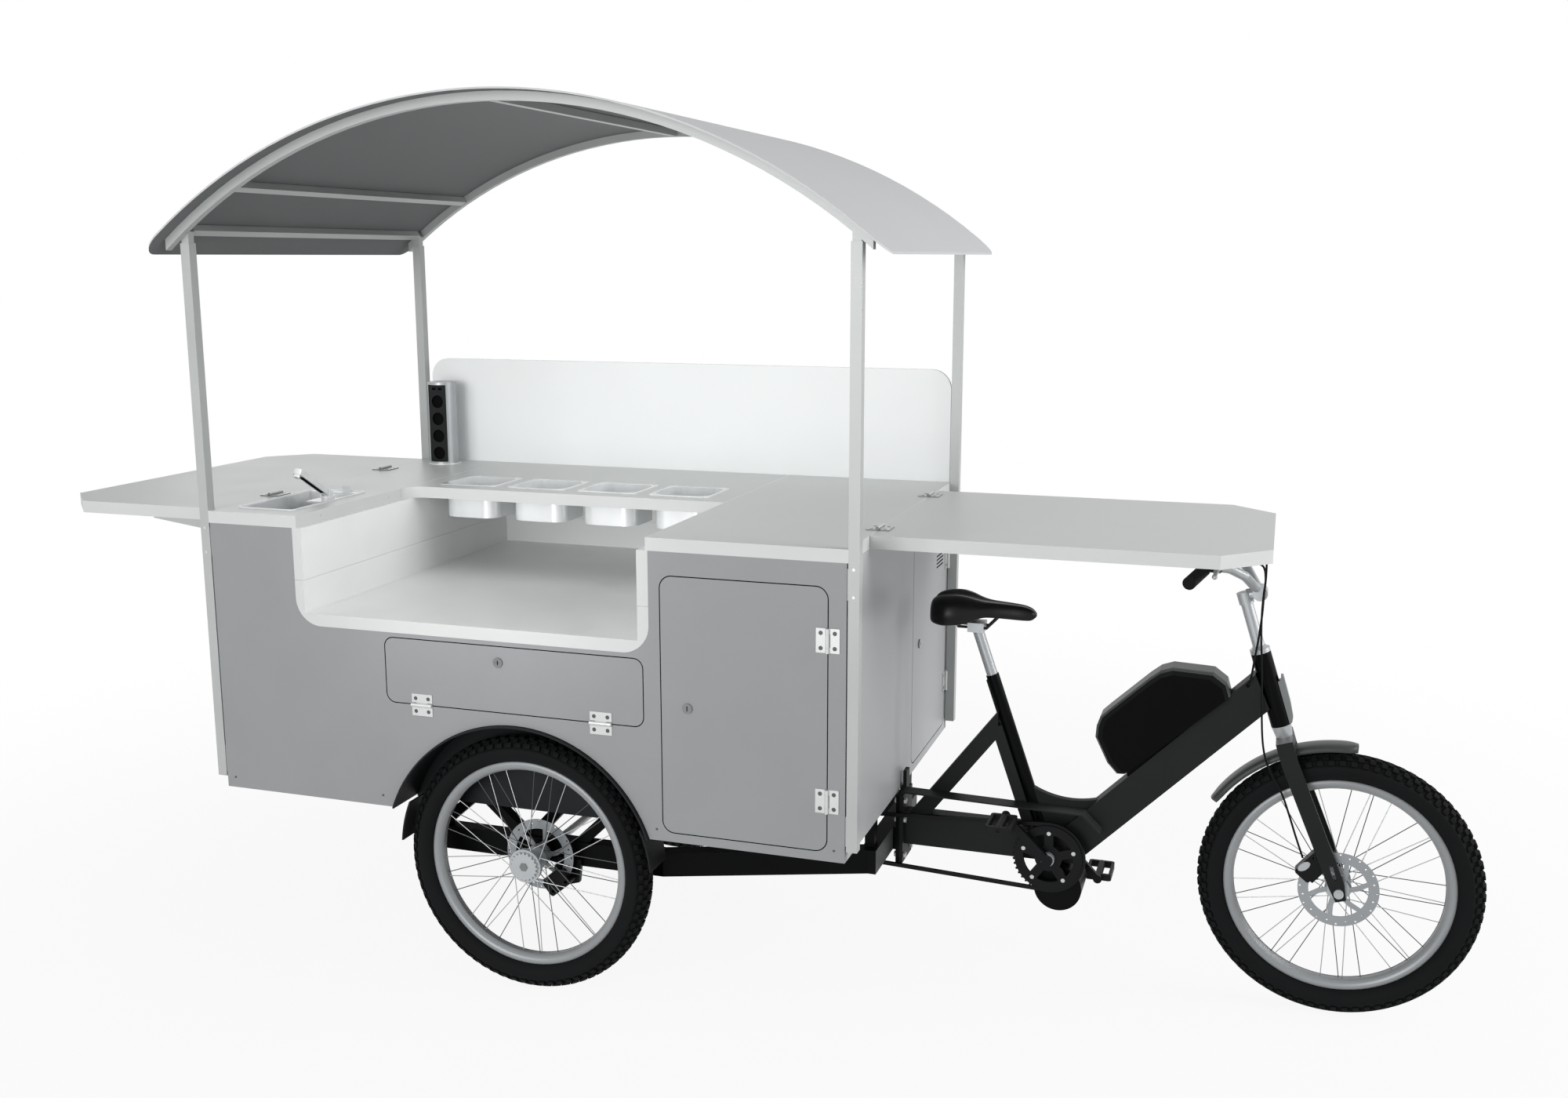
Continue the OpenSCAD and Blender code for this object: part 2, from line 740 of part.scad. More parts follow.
module motor() {
  color(black) place_front() {
    difference() {
      union() {
        rod_y(motor_p[0], motor_p[1], -48, 50, motor_r);
        rod_y(motor_p[0], motor_p[1], 49, 58, motor_r - 8);
        in_xz(-22, 22) box2([motor_p[0] - 30, motor_p[1] + 40, motor_p[0] + 25, 300 - 0.2]);
      }
      rod_y(crank_p[0], crank_p[1], -60, 60, 24);
    }
  }
}

// direction from a wheel's middle to where a straight run of the chain leaves it, above or below
function run_dir(s) = let(d = crank_p - [axle_x, tyre_r], a = asin((ring_r - sprocket_r) / norm(d)),
    b = atan2(d[1], d[0])) [cos(b + s * (90 + a)), sin(b + s * (90 + a))];

module loop(g) {
  p = [axle_x, tyre_r];
  translate(p) circle(sprocket_r + g);
  translate(crank_p) circle(ring_r + g, $fn = 128);
  polygon([p + (sprocket_r + g) * run_dir(1), crank_p + (ring_r + g) * run_dir(1),
    crank_p + (ring_r + g) * run_dir(-1), p + (sprocket_r + g) * run_dir(-1)]);
}

module chain() {
  color(dark) place_front() {
    for (y = [-plate_out, plate_in])
      in_xz(ring_y + y, ring_y + y + plate_out - plate_in)
        difference() {
          loop(link_h);
          loop(-link_h);
        }
    for (s = [1, -1])
      in_xz(ring_y - plate_in, ring_y + plate_in)
        intersection() {
          difference() {
            loop(2.6);
            loop(-2.6);
          }
          box2([axle_x + 60, s > 0 ? tyre_r : 0, crank_p[0] - ring_r - 20, s > 0 ? 1000 : tyre_r]);
        }
  }
}

// lines of the two brake cables, from the lever to where each one ends
rear_cable = [[741.2, 129.6, 1083.5], [752, 122, 1084.5], [790, 108, 1089], [830, 75, 1092],
  [850, 25, 1090], [853, -12, 1080], [853.5, -34, 1048], [851.5, -38, 1008], [850, -38, 960],
  [845.5, -38, 905], [840, -38, 860], [834.5, -36, 813], [829, -30, 793], [828, -20, 785.5]];
front_cable = [[741.2, -129.6, 1083.5], [752, -122, 1084.5], [785, -112, 1088], [825, -88, 1090],
  [847, -62, 1078], [853, -50, 1046], [851, -47, 1012], [849.5, -47, 970], [851, -47, 915], [857, -47, 830],
  [865, -46, 692], [875, -45, 627], [892, -45, 586], [918, -45, 540], [937, -44, 490], [954, -41, 440],
  [973, -38, 388]];

module rear_brake_cable() {
  color(rubber) place_front() cord(rear_cable, 2.5);
}

module front_brake_cable() {
  color(rubber) place_front() cord(front_cable, 2.5);
}

module battery() {
  color(black) place_front()
    intersection() {
      in_xz(-44, 44)
        polygon([[493, 630], [498, 680], [521, 706], [629, 818], [664, 832], [758, 827], [790, 801],
          [797, 770.5], [563, 536.5], [546, 536], [523, 563]]);
      translate([567, 0, 540.5]) rotate([0, 45, 0]) translate([0, 0, -300]) linear_extrude(900)
        polygon([[20, -44], [-100, -44], [-200, -10], [-200, 10], [-100, 44], [20, 44]]);
    }
}

module roof_shell(r0, r1, w) {
  translate([roof_x, 0, roof_z])
    difference() {
      rod_y(0, 0, -w, w, r1, $fn = 256);
      rod_y(0, 0, -w - 1, w + 1, r0, $fn = 256);
    }
}

module roof_sheet() {
  color(pale) place()
    intersection() {
      roof_shell(roof_r - roof_t, roof_r, roof_half_w + 1);
      in_xy(roof_z, roof_top + 1)
        round_box([roof_x - roof_half_l, -roof_half_w, roof_x + roof_half_l, roof_half_w], roof_corner);
    }
}

module roof_rib() {
  intersection() {
    translate([roof_x, 0, roof_z])
      difference() {
        rod_y(0, 0, -rib_y - rib_w, -rib_y - weld_gap, rib_r1, $fn = 256);
        rod_y(0, 0, -rib_y - rib_w - 1, 1 - rib_y, rib_r0, $fn = 256);
      }
    in_xy(roof_z, roof_top) box2([roof_x - rib_half_l, -rib_y - rib_w, roof_x + rib_half_l, 0]);
  }
}

// bar across the roof at the given distance from its middle, reaching y on both sides
module roof_bar(x, y) {
  translate([roof_x, 0, roof_z]) rotate([0, asin(x / (rib_r0 + rib_w / 2)), 0])
    translate([-rib_w / 2, -y, rib_r0 + 1]) cube([rib_w, 2 * y, rib_w - 2]);
}

module roof_frame() {
  end_bar = post_x1 - roof_x - 3;
  color(pale) place() {
    both_sides() roof_rib();
    for (x = [-end_bar, end_bar]) roof_bar(x, post_y - tube_w / 2 - weld_gap);
    for (x = [149 - end_bar, 0, end_bar - 149]) roof_bar(x, rib_y);
    for (x = [post_x0, post_x1])
      for (y = [-post_y, post_y])
        translate([x, y, 0]) {
          in_xy(tube_z0, post_top) square(tube_w, center = true);
          in_xy(sleeve_z1, sleeve_z1 + collar_h) square(sleeve_w, center = true);
        }
  }
}

module table_board(l, w) {
  c = table_chamfer;
  polygon([[0, -w / 2], [l - c, -w / 2], [l, c - w / 2], [l, w / 2 - c], [l - c, w / 2], [0, w / 2]]);
}

module front_table() {
  color(pale) place() translate([cab_l + lip + seam, 0, 0])
    in_xy(under_z, top_z) table_board(front_table_l, front_table_w);
  color(steel) place() at_front_table() hinge_moving();
}

module rear_table() {
  color(pale) place() translate([-lip - seam, 0, 0]) mirror([1, 0, 0])
    in_xy(under_z, top_z) table_board(rear_table_l, rear_table_w);
  color(steel) place() at_rear_table() hinge_moving();
}

module table_bracket() {
  t = under_z - 0.4;
  difference() {
    union() {
      in_xy(bracket_z - 41.5, bracket_z - 6.5) circle(7);
      in_xz(-6, 6)
        polygon([[0, bracket_z - 36], [0, bracket_z - 6.5], [-10, bracket_z - 6.5], [-10, t], [-186, t],
          [-186, t - 3], [-40, t - 22]]);
    }
    in_xy(bracket_z - 60, bracket_z) circle(4 + fit);
  }
}

module table_bracket_right() {
  color(pale) place() translate([-11, -bracket_y, 0]) table_bracket();
}

module table_bracket_left() {
  color(pale) place() translate([-11, bracket_y, 0]) table_bracket();
}

lock_r = 8;
// where the locks sit: side door and flap as [x, z], front door as [y, z]
door_lock = [door_cut[0] + 65.7, (door_cut[1] + door_cut[3]) / 2 - 0.8];
flap_lock = [flap_cut[0] + 306, flap_cut[3] - 40];
front_lock = [front_cut[0] + 74, (front_cut[1] + front_cut[3]) / 2 + 8.5];

module side_door() {
  color(grey) place()
    in_xz(-cab_hw, -in_hw)
      difference() {
        round_box(grow(door_cut, -door_gap), 30 - door_gap);
        translate(door_lock) circle(lock_r + fit);
      }
  color(steel) place() at_side_door() hinge_moving();
}

module side_flap() {
  color(grey) place()
    in_xz(-cab_hw, -in_hw)
      difference() {
        round_box(grow(flap_cut, -door_gap), 25 - door_gap);
        translate(flap_lock) circle(lock_r + fit);
      }
  color(steel) place() at_side_flap() hinge_moving();
}

module front_door() {
  color(grey) place()
    in_yz(cab_l - panel_t, cab_l)
      difference() {
        round_box(grow(front_cut, -door_gap), 30 - door_gap);
        translate(front_lock) circle(lock_r + fit);
        for (i = [0 : 3])
          translate([front_cut[2] - 128, front_cut[3] - 133 + 10 * i]) round_box([0, 0, 81, 4], 1.9);
      }
  color(steel) place() at_front_door() hinge_moving();
}

// quarter-turn lock: head at +Z, barrel through the door, cam of the given reach along +X
module lock(reach) {
  difference() {
    in_xy(0.3, 3.5) circle(12);
    in_xy(2, 5) box2([-6, -1, 6, 1]);
  }
  in_xy(-panel_t - 4, 1) circle(lock_r);
  in_xy(-panel_t - 4, -panel_t - 1) box2([-9, -9, reach, 9]);
}

module side_door_lock() {
  color(steel) place()
    translate([door_lock[0], -cab_hw, door_lock[1]]) rotate([90, 0, 0]) rotate(90) lock(74);
}

module side_flap_lock() {
  color(steel) place() translate([flap_lock[0], -cab_hw, flap_lock[1]]) rotate([90, 0, 0]) lock(46);
}

module front_door_lock() {
  color(steel) place()
    translate([cab_l, front_lock[0], front_lock[1]]) rotate([90, 0, 90]) rotate(90) lock(82);
}

// spout along -Y from its pin, raised by the angle that it has in the photograph
module tap_spout() {
  color(steel) place()
    translate(tap_p) rotate([-31, 0, 0])
      difference() {
        union() {
          in_xy(-7, 7) {
            box2([-10.5, -132, 10.5, 0]);
            translate([0, -132]) circle(10.5);
          }
          translate([0, -132, -15]) cylinder(h = 9, r = 7.5);
          translate([-10.5, 0, 0]) rotate([0, 90, 0]) cylinder(h = 21, r = 7);
        }
        in_xy(-8, -4) box2([-7, -118, 7, -14]);
        translate([-20, 0, 0]) rotate([0, 90, 0]) cylinder(h = 40, r = 3 + fit);
      }
}

module power_tower() {
  face = 30;
  socket_pitch = (tower_h - 39.6) / 4;
  socket_r = socket_pitch / 2 - 6.8;
  color(dark) place()
    translate([tower_p[0], tower_p[1], 0])
      difference() {
        in_xy(under_z - 4, top_z + tower_h) circle(tower_r);
        in_xy(top_z + 8, top_z + tower_h - 8) box2([-31, -60, 31, -face]);
        for (i = [0 : 3])
          translate([0, -face + 6, top_z + 33 + i * socket_pitch]) rotate([90, 0, 0])
            cylinder(h = 20, r = socket_r);
        for (x = [-10, 10])
          in_xz(-60, -face + 5) translate([x, top_z + tower_h - 20]) square([12, 7], center = true);
      }
}

module pan(i) {
  t = 1;
  color(steel) place() pan_place(i)
    difference() {
      union() {
        in_xy(-pan_depth, 1) round_box(pan_box, pan_r);
        in_xy(0, 1.5) round_box(grow(pan_box, pan_flange), pan_flange);
      }
      in_xy(t - pan_depth, 3) round_box(grow(pan_box, -t), pan_r - t);
    }
}

module pan_1() {
  pan(0);
}

module pan_2() {
  pan(1);
}

module pan_3() {
  pan(2);
}

module pan_4() {
  pan(3);
}

// wheel pieces turn about the Y axis at the origin
bead_y = 14.5;
rim_y = 17;
rim_r = 258;
rim_in = 236;

module about_y() {
  rotate([90, 0, 0]) rotate_extrude($fn = 96) children();
}

module tyre() {
  s = tyre_w / 2;
  about_y()
    difference() {
      union() {
        translate([tyre_r - s, 0]) circle(s);
        for (y = [-1, 1]) box2([250, y * 12 - 2, 275, y * 12 + 2]);
      }
      translate([tyre_r - s, 0]) circle(s - 5);
      box2([0, -10, 270, 10]);
      box2([0, bead_y - 0.4, rim_r + 0.6, 60]);
      box2([0, -60, rim_r + 0.6, 0.4 - bead_y]);
    }
}

module rim() {
  about_y()
    difference() {
      polygon([[rim_in, -8], [rim_in, 8], [242, rim_y], [rim_r, rim_y], [rim_r, -rim_y], [242, -rim_y]]);
      box2([246, -bead_y, 300, bead_y]);
    }
}

// spokes from two hub flanges at the given places along the axle, the first of radius r0
module spokes(y0, y1, r0) {
  n = spoke_n / 4;
  for (f = [0, 1])
    for (i = [0 : 2 * n - 1]) {
      lead = i % 2 == 0 ? 1 : -1;
      a = 360 * i / (2 * n) + f * 180 / (2 * n);
      b = a + lead * 32;
      y = f == 0 ? y0 : y1;
      c = a - lead * 4;
      r = f == 0 ? r0 + 1 : 31;
      rod([r * cos(b), y + lead * 2.5, r * sin(b)],
        [(rim_in - 0.3) * cos(c), f == 0 ? -3 : 3, (rim_in - 0.3) * sin(c)], 1.1, $fn = 16);
    }
}

module hub_part(y0, y1, r) {
  rod_y(0, 0, y0, y1, r);
}

module disc_2d() {
  difference() {
    union() {
      difference() {
        circle(rotor_r, $fn = 128);
        circle(rotor_r - 24, $fn = 128);
      }
      circle(26);
      for (a = [0 : 60 : 300])
        rotate(a) polygon([[20, -6], [45, 2], [rotor_r - 13, 22], [rotor_r - 14, 33], [40, 13], [20, 6]]);
    }
    for (a = [0 : 15 : 345])
      rotate(a) translate([rotor_r - 7.5 + (a % 30 == 0 ? 2.5 : -2.5), 0]) circle(2.2, $fn = 24);
  }
}

module rotor(y) {
  in_xz(y - rotor_t / 2, y + rotor_t / 2) disc_2d();
}

module toothed(r, teeth, h) {
  circle(r - h, $fn = 96);
  for (i = [0 : teeth - 1])
    rotate(360 * i / teeth)
      polygon([[r - h - 1, -2 * r / teeth], [r, -2], [r, 2], [r - h - 1, 2 * r / teeth]]);
}

// rear wheel with its outer side towards -Y
module rear_wheel() {
  rim();
  spokes(-26, 26, 42);
  difference() {
    union() {
      hub_part(-28, 68, 20);
      hub_part(-31, -20, 42);
      hub_part(24, 28, 30);
      hub_part(44, 56, 26);
      rotor(51);
      in_xz(-37, -30) toothed(36, 20, 4);
      translate([0, -36, 0]) rotate([90, 0, 0]) cylinder(h = 3, r = 11, $fn = 6);
    }
    rod_y(0, 0, -30, 80, shaft_r + fit);
  }
}

module at_rear_right() {
  place_front() translate([axle_x, -track, tyre_r]) children();
}

module at_rear_left() {
  place_front() translate([axle_x, track, tyre_r]) mirror([0, 1, 0]) children();
}

module at_front() {
  place_front() in_steering() translate([front_t, 0, front_s]) rotate([0, steer_tilt, 0]) children();
}

module rear_tyre_right() {
  color(rubber) at_rear_right() tyre();
}

module rear_wheel_right() {
  color(steel) at_rear_right() rear_wheel();
}

module rear_tyre_left() {
  color(rubber) at_rear_left() tyre();
}

module rear_wheel_left() {
  color(steel) at_rear_left() rear_wheel();
}

module front_tyre() {
  color(rubber) at_front() tyre();
}

module front_wheel() {
  color(steel) at_front() {
    rim();
    spokes(-24, 30, 30);
    difference() {
      union() {
        hub_part(-46, 46, 15);
        for (y = [-24, 30]) hub_part(y - 2, y + 2, 30);
        hub_part(front_rotor_y - 4, front_rotor_y + 4, 24);
        rotor(front_rotor_y);
      }
      rod_y(0, 0, -60, 60, front_axle_r + fit);
    }
  }
}

module drive_axle() {
  color(steel) place_front() {
    rod_y(axle_x, tyre_r, -track - 27, track + 27, shaft_r);
    translate([axle_x, 0, tyre_r]) {
      in_xz(ring_y - 1.5, ring_y + 1.5) toothed(sprocket_r + 3.5, sprocket_teeth, 7);
      rod_y(0, 0, ring_y - 12, ring_y + 12, 17);
    }
  }
}

module crank_arm(y0, y1) {
  in_xz(y0, y1) {
    circle(13);
    translate([crank_l, 0]) circle(11);
    polygon([[0, -10], [crank_l, -8], [crank_l, 8], [0, 10]]);
  }
}

module crankset() {
  color(dark) place_front() translate([crank_p[0], 0, crank_p[1]]) {
    rod_y(0, 0, -arm_y1 + 1, arm_y1 - 1, spindle_r);
    rotate([0, -crank_angle, 0]) {
      crank_arm(-arm_y1, -arm_y0);
      rod_y(crank_l, 0, -arm_y1 - 2 * pedal_hw - 2, -arm_y1 + 1, pedal_pin_r);
    }
    rotate([0, 180 - crank_angle, 0]) {
      crank_arm(arm_y0, arm_y1);
      rod_y(crank_l, 0, arm_y1 - 1, arm_y1 + 2 * pedal_hw + 2, pedal_pin_r);
    }
    rod_y(0, 0, -arm_y0 - 1, ring_y + 4, 16);
    in_xz(ring_y - 1.5, ring_y + 1.5)
      difference() {
        toothed(ring_r + 3.5, ring_teeth, 7);
        ring_windows(ring_r - 24);
      }
    in_xz(ring_y - 8, ring_y - 6)
      difference() {
        circle(ring_r - 2.5, $fn = 128);
        ring_windows(ring_r - 24);
      }
    for (i = [0 : 4])
      rotate([0, -90 - 72 * i, 0]) rod_y(64, 0, ring_y - 11, ring_y + 3, 5);
  }
}

// five openings between the arms of the chainring
module ring_windows(r) {
  difference() {
    circle(r, $fn = 96);
    circle(33);
    for (i = [0 : 4])
      rotate(90 + 72 * i) translate([0, -11]) square([r + 5, 22]);
  }
}

module pedal(x, z, y0) {
  color(dark) place_front() translate([x, y0, z])
    difference() {
      union() {
        in_xy(-8.5, 8.5)
          difference() {
            round_box([-32, -pedal_hw, 32, pedal_hw], 8);
            for (x = [-25, 7]) box2([x, 8 - pedal_hw, x + 18, pedal_hw - 8]);
          }
        rod_y(0, 0, -pedal_hw, pedal_hw, 9);
      }
      rod_y(0, 0, -pedal_hw - 1, pedal_hw + 1, pedal_pin_r + fit);
    }
}

pedal_y = arm_y1 + 4 + pedal_hw;

module pedal_right() {
  pedal(crank_p[0] + crank_l * cos(crank_angle), crank_p[1] + crank_l * sin(crank_angle), -pedal_y);
}

module pedal_left() {
  pedal(crank_p[0] - crank_l * cos(crank_angle), crank_p[1] - crank_l * sin(crank_angle), pedal_y);
}

module fork() {
  color(black) place_front() in_steering() {
    translate([-19, -leg_y1, -44]) cube([38, 2 * leg_y1, 28]);
    both_sides()
      in_xz(-leg_y1, -leg_y0)
        difference() {
          polygon([[-19, -40], [19, -40], [19, -70], [front_t + 18, -372], [front_t + 12, -410],
            [front_t - 12, -410], [front_t - 18, -372], [-19, -70]]);
          round_box([front_t - 4, -360, front_t + 4, -320], 3.9);
        }
    translate([front_t, 0, front_s]) {
      rod_y(0, 0, -leg_y1 - 9, leg_y1 + 9, front_axle_r);
      rod_y(0, 0, -leg_y1 - 7, -leg_y1 + 1, 11);
      rod_y(0, 0, leg_y1 - 1, leg_y1 + 7, 11);
    }
  }
}

module bar_path() {
  for (p = [[bar_1, bar_2], [bar_2, bar_3], [bar_3, bar_4], [bar_4, bar_5]]) rod(p[0], p[1], bar_r);
  for (p = [bar_2, bar_3, bar_4]) translate(p) rotate([0, 90, 40]) sphere(bar_r + 0.3);
}

module at_lever() {
  translate(lever_p) rotate([0, 0, bar_turn]) children();
}

module handlebar() {
  color(steel) place_front() {
    in_steering() {
      translate([0, 0, -16]) cylinder(h = 352, r = steerer_r);
      translate([0, 0, -16]) cylinder(h = 27.5, r1 = 19, r2 = head_r);
      translate([0, 0, head_s1 + 0.5]) cylinder(h = 10, r = head_r);
      translate([0, 0, head_s1 + 10]) cylinder(h = 8, r1 = head_r - 2, r2 = steerer_r);
      translate([0, 0, 310]) cylinder(h = 28, r = steerer_r + 3);
    }
    rod([813, 0, 999], [841, 0, 1005], 13);
    rod_y(bar_1[0], bar_1[2], -22, 22, 17);
    both_sides() {
      bar_path();
      difference() {
        at_lever() {
          translate([-8, -lever_out - 14, -9]) cube([16, lever_out + 20, 18]);
        }
        at_lever() translate([-20, -11, -4.4]) cube([40, 40, 8.8]);
      }
      at_lever() translate([0, 0, -8]) cylinder(h = 16, r = 2.5);
    }
  }
}

module grips() {
  g = bar_5 - bar_4;
  color(rubber) place_front()
    both_sides()
      difference() {
        rod(bar_4 + 0.24 * g, bar_4 + 1.03 * g, grip_r);
        rod(bar_4 + 0.2 * g, bar_4 + 1.001 * g, bar_r + fit);
      }
}

module lever() {
  at_lever()
    difference() {
      union() {
        in_xy(-4, 4) {
          polygon([[-7, -6], [12, -6], [60, 5], [94, 14], [94, 21], [58, 13], [10, 6], [-7, 6]]);
        }
        translate([96, 18, 0]) sphere(6);
      }
      translate([0, 0, -9]) cylinder(h = 18, r = 2.5 + fit);
    }
}

module lever_right() {
  color(dark) place_front() lever();
}

module lever_left() {
  color(dark) place_front() mirror([0, 1, 0]) lever();
}

module front_mudguard() {
  color(grey) at_front() {
    in_xz(-31, 31) ring_sector(341, 344, 86, 148.6);
    rotate([0, -20, 0]) translate([0, 0, 343]) cylinder(h = 2.8, r = 9);
  }
}

module front_caliper() {
  color(dark) place_front() in_steering()
    translate([front_t, front_rotor_y, front_s]) rotate([0, -33, 0]) caliper(-14.5, 12);
}

module seat_post() {
  color(steel) place_front() {
    in_seat_tube() translate([0, 0, -220]) cylinder(h = 341, r = post_r);
    translate([165, -24, 865]) cube([40, 48, 23]);
    both_sides() {
      rod([142, -17, 876], [211, -17, 876], 3.5);
      for (p = [[142, -17, 876], [211, -17, 876]]) translate(p) rotate([0, 90, 40]) sphere(3.6);
      rod([142, -17, 876], [118, -17, saddle_pocket - 2.4], 3.5);
      rod([211, -17, 876], [244, -17, saddle_pocket - 2.4], 3.5);
    }
  }
}

// saddle sections from rear to nose: x, half width, top, lower edge, dip in the middle as part of the height
saddle_cut = [[73, 30, 928.5, 896.5, 0.06], [78, 50, 941.5, 891.5, 0.12], [89, 66, 950.5, 888.5, 0.15],
  [112, 78, 956.5, 886.5, 0.15], [140, 77, 958.5, 888.5, 0.14], [165, 68, 954.5, 892.5, 0.12],
  [187, 54, 947.5, 900.5, 0.1], [205, 43, 943, 905.5, 0.08], [227, 34, 940.5, 905.5, 0.06],
  [267, 27, 938, 903.5, 0.05], [300, 23, 934.5, 902, 0.04], [318, 18, 928.5, 902.5, 0.04],
  [327, 10, 921.5, 907.5, 0.05], [330, 5, 917.5, 910.5, 0.08]];
saddle_pocket = 913;
// half of a section from the middle outwards: share of the half width, of the dip and of the height
saddle_half = [[0, -1, 0], [0.18, -0.7, 0], [0.36, -0.15, 0], [0.5, 0, -0.01], [0.7, 0, -0.07],
  [0.86, 0, -0.2], [0.97, 0, -0.43], [1, 0, -0.68], [0.96, 0, -0.9], [0.86, 0, -1]];

module saddle() {
  far_half = [for (i = [9 : -1 : 1]) let(h = saddle_half[i]) [-h[0], h[1], h[2]]];
  ring = concat(saddle_half, far_half);
  m = len(ring);
  n = len(saddle_cut);
  points = [for (c = saddle_cut) for (q = ring)
    [c[0], c[1] * q[0], c[2] + (q[1] * c[4] + q[2]) * (c[2] - c[3])]];
  walls = [for (i = [0 : n - 2]) for (k = [0 : m - 1])
    let(a = i * m + k, b = i * m + (k + 1) % m) each [[a, b, a + m], [b, b + m, a + m]]];
  caps = [[for (k = [m - 1 : -1 : 0]) k], [for (k = [0 : m - 1]) (n - 1) * m + k]];
  color(rubber) place_front()
    difference() {
      polyhedron(points, concat(walls, caps));
      in_xy(800, saddle_pocket) box2([100, -21.5, 250, 21.5]);
    }
}

chassis_frame();
cabinet_floor();
side_panel_right();
side_panel_left();
rear_panel();
front_panel();
well_liner();
worktop();
splash_panel();
post_sleeves();
hinges_and_screws();
sink();
tower_ring();
water_tanks();
rear_mudguards();
rear_calipers();
bike_frame();
chain_guard();
motor();
chain();
rear_brake_cable();
front_brake_cable();
battery();
roof_sheet();
roof_frame();
front_table();
rear_table();
table_bracket_right();
table_bracket_left();
side_door();
side_flap();
front_door();
side_door_lock();
side_flap_lock();
front_door_lock();
tap_spout();
power_tower();
pan_1();
pan_2();
pan_3();
pan_4();
rear_tyre_right();
rear_wheel_right();
rear_tyre_left();
rear_wheel_left();
front_tyre();
front_wheel();
drive_axle();
crankset();
pedal_right();
pedal_left();
fork();
handlebar();
grips();
lever_right();
lever_left();
front_mudguard();
front_caliper();
seat_post();
saddle();
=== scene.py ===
import bpy
import math
import numpy as np
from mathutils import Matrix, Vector


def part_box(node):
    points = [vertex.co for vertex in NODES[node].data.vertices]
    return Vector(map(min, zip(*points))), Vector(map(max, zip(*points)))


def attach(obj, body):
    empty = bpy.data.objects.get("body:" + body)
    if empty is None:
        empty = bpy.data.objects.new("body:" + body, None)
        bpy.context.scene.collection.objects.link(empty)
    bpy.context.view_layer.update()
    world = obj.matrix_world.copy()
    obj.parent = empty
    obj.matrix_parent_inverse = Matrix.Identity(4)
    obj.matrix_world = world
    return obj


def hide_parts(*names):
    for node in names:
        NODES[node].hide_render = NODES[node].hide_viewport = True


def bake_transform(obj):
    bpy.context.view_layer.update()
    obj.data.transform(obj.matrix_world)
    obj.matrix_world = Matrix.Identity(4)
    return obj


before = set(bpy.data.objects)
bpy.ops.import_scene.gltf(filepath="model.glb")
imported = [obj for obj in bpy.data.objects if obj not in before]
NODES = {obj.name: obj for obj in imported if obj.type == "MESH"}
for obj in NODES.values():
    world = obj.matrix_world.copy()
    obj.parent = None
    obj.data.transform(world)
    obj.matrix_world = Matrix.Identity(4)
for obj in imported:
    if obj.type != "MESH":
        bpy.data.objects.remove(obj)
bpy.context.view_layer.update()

# the part's source measures the cabinet from its rear face, which lies this far behind the middle (metres),
# and the running gear from its front face, which lies FRONT millimetres before the rear face
REAR = 1.2455
FRONT = 1633


def at(x, y, z):
    """A point in the source's millimetres, from the cabinet's rear face, in the shared frame."""
    return Vector((x / 1000 - REAR, y / 1000, z / 1000))


def ahead(x, y, z):
    """A point in the source's millimetres, from the cabinet's front face, in the shared frame."""
    return at(x + FRONT, y, z)


def linear(c):
    """A written level from 0 to 255 as linear light."""
    c = c / 255
    return c / 12.92 if c <= 0.04045 else ((c + 0.055) / 1.055) ** 2.4


GLOSS_CHANGE = 0.06
LEAST_ROUGH = 0.05
GRAIN_DEPTH = 0.002


def finish(name, rgb, rough=0.45, metal=0.0, change=0.05, scale=6.0, bump=0.02, grain=260.0, stretch=(1, 1, 1),
           spec=0.3):
    """A procedural finish: a soft change of tone, a change of gloss and a fine grain."""
    m = bpy.data.materials.new(name)
    m.use_nodes = True
    t = m.node_tree
    b = t.nodes["Principled BSDF"]
    place = t.nodes.new("ShaderNodeTexCoord")
    turn = t.nodes.new("ShaderNodeMapping")
    turn.inputs["Scale"].default_value = stretch
    t.links.new(place.outputs["Object"], turn.inputs["Vector"])
    cloud = t.nodes.new("ShaderNodeTexNoise")
    cloud.inputs["Scale"].default_value = scale
    cloud.inputs["Detail"].default_value = 4.0
    t.links.new(turn.outputs["Vector"], cloud.inputs["Vector"])
    tone = t.nodes.new("ShaderNodeValToRGB")
    low = [linear(c) * (1 - change) for c in rgb]
    high = [min(1.0, linear(c) * (1 + change)) for c in rgb]
    tone.color_ramp.elements[0].position = 0.3
    tone.color_ramp.elements[0].color = (*low, 1)
    tone.color_ramp.elements[1].position = 0.7
    tone.color_ramp.elements[1].color = (*high, 1)
    t.links.new(cloud.outputs["Fac"], tone.inputs["Fac"])
    t.links.new(tone.outputs["Color"], b.inputs["Base Color"])
    gloss = t.nodes.new("ShaderNodeMapRange")
    gloss.inputs["To Min"].default_value = max(LEAST_ROUGH, rough - GLOSS_CHANGE)
    gloss.inputs["To Max"].default_value = min(1.0, rough + GLOSS_CHANGE)
    t.links.new(cloud.outputs["Fac"], gloss.inputs["Value"])
    t.links.new(gloss.outputs["Result"], b.inputs["Roughness"])
    fine = t.nodes.new("ShaderNodeTexNoise")
    fine.inputs["Scale"].default_value = grain
    t.links.new(turn.outputs["Vector"], fine.inputs["Vector"])
    push = t.nodes.new("ShaderNodeBump")
    push.inputs["Strength"].default_value = bump
    push.inputs["Distance"].default_value = GRAIN_DEPTH
    t.links.new(fine.outputs["Fac"], push.inputs["Height"])
    t.links.new(push.outputs["Normal"], b.inputs["Normal"])
    b.inputs["Metallic"].default_value = metal
    b.inputs["Specular IOR Level"].default_value = spec
    return m


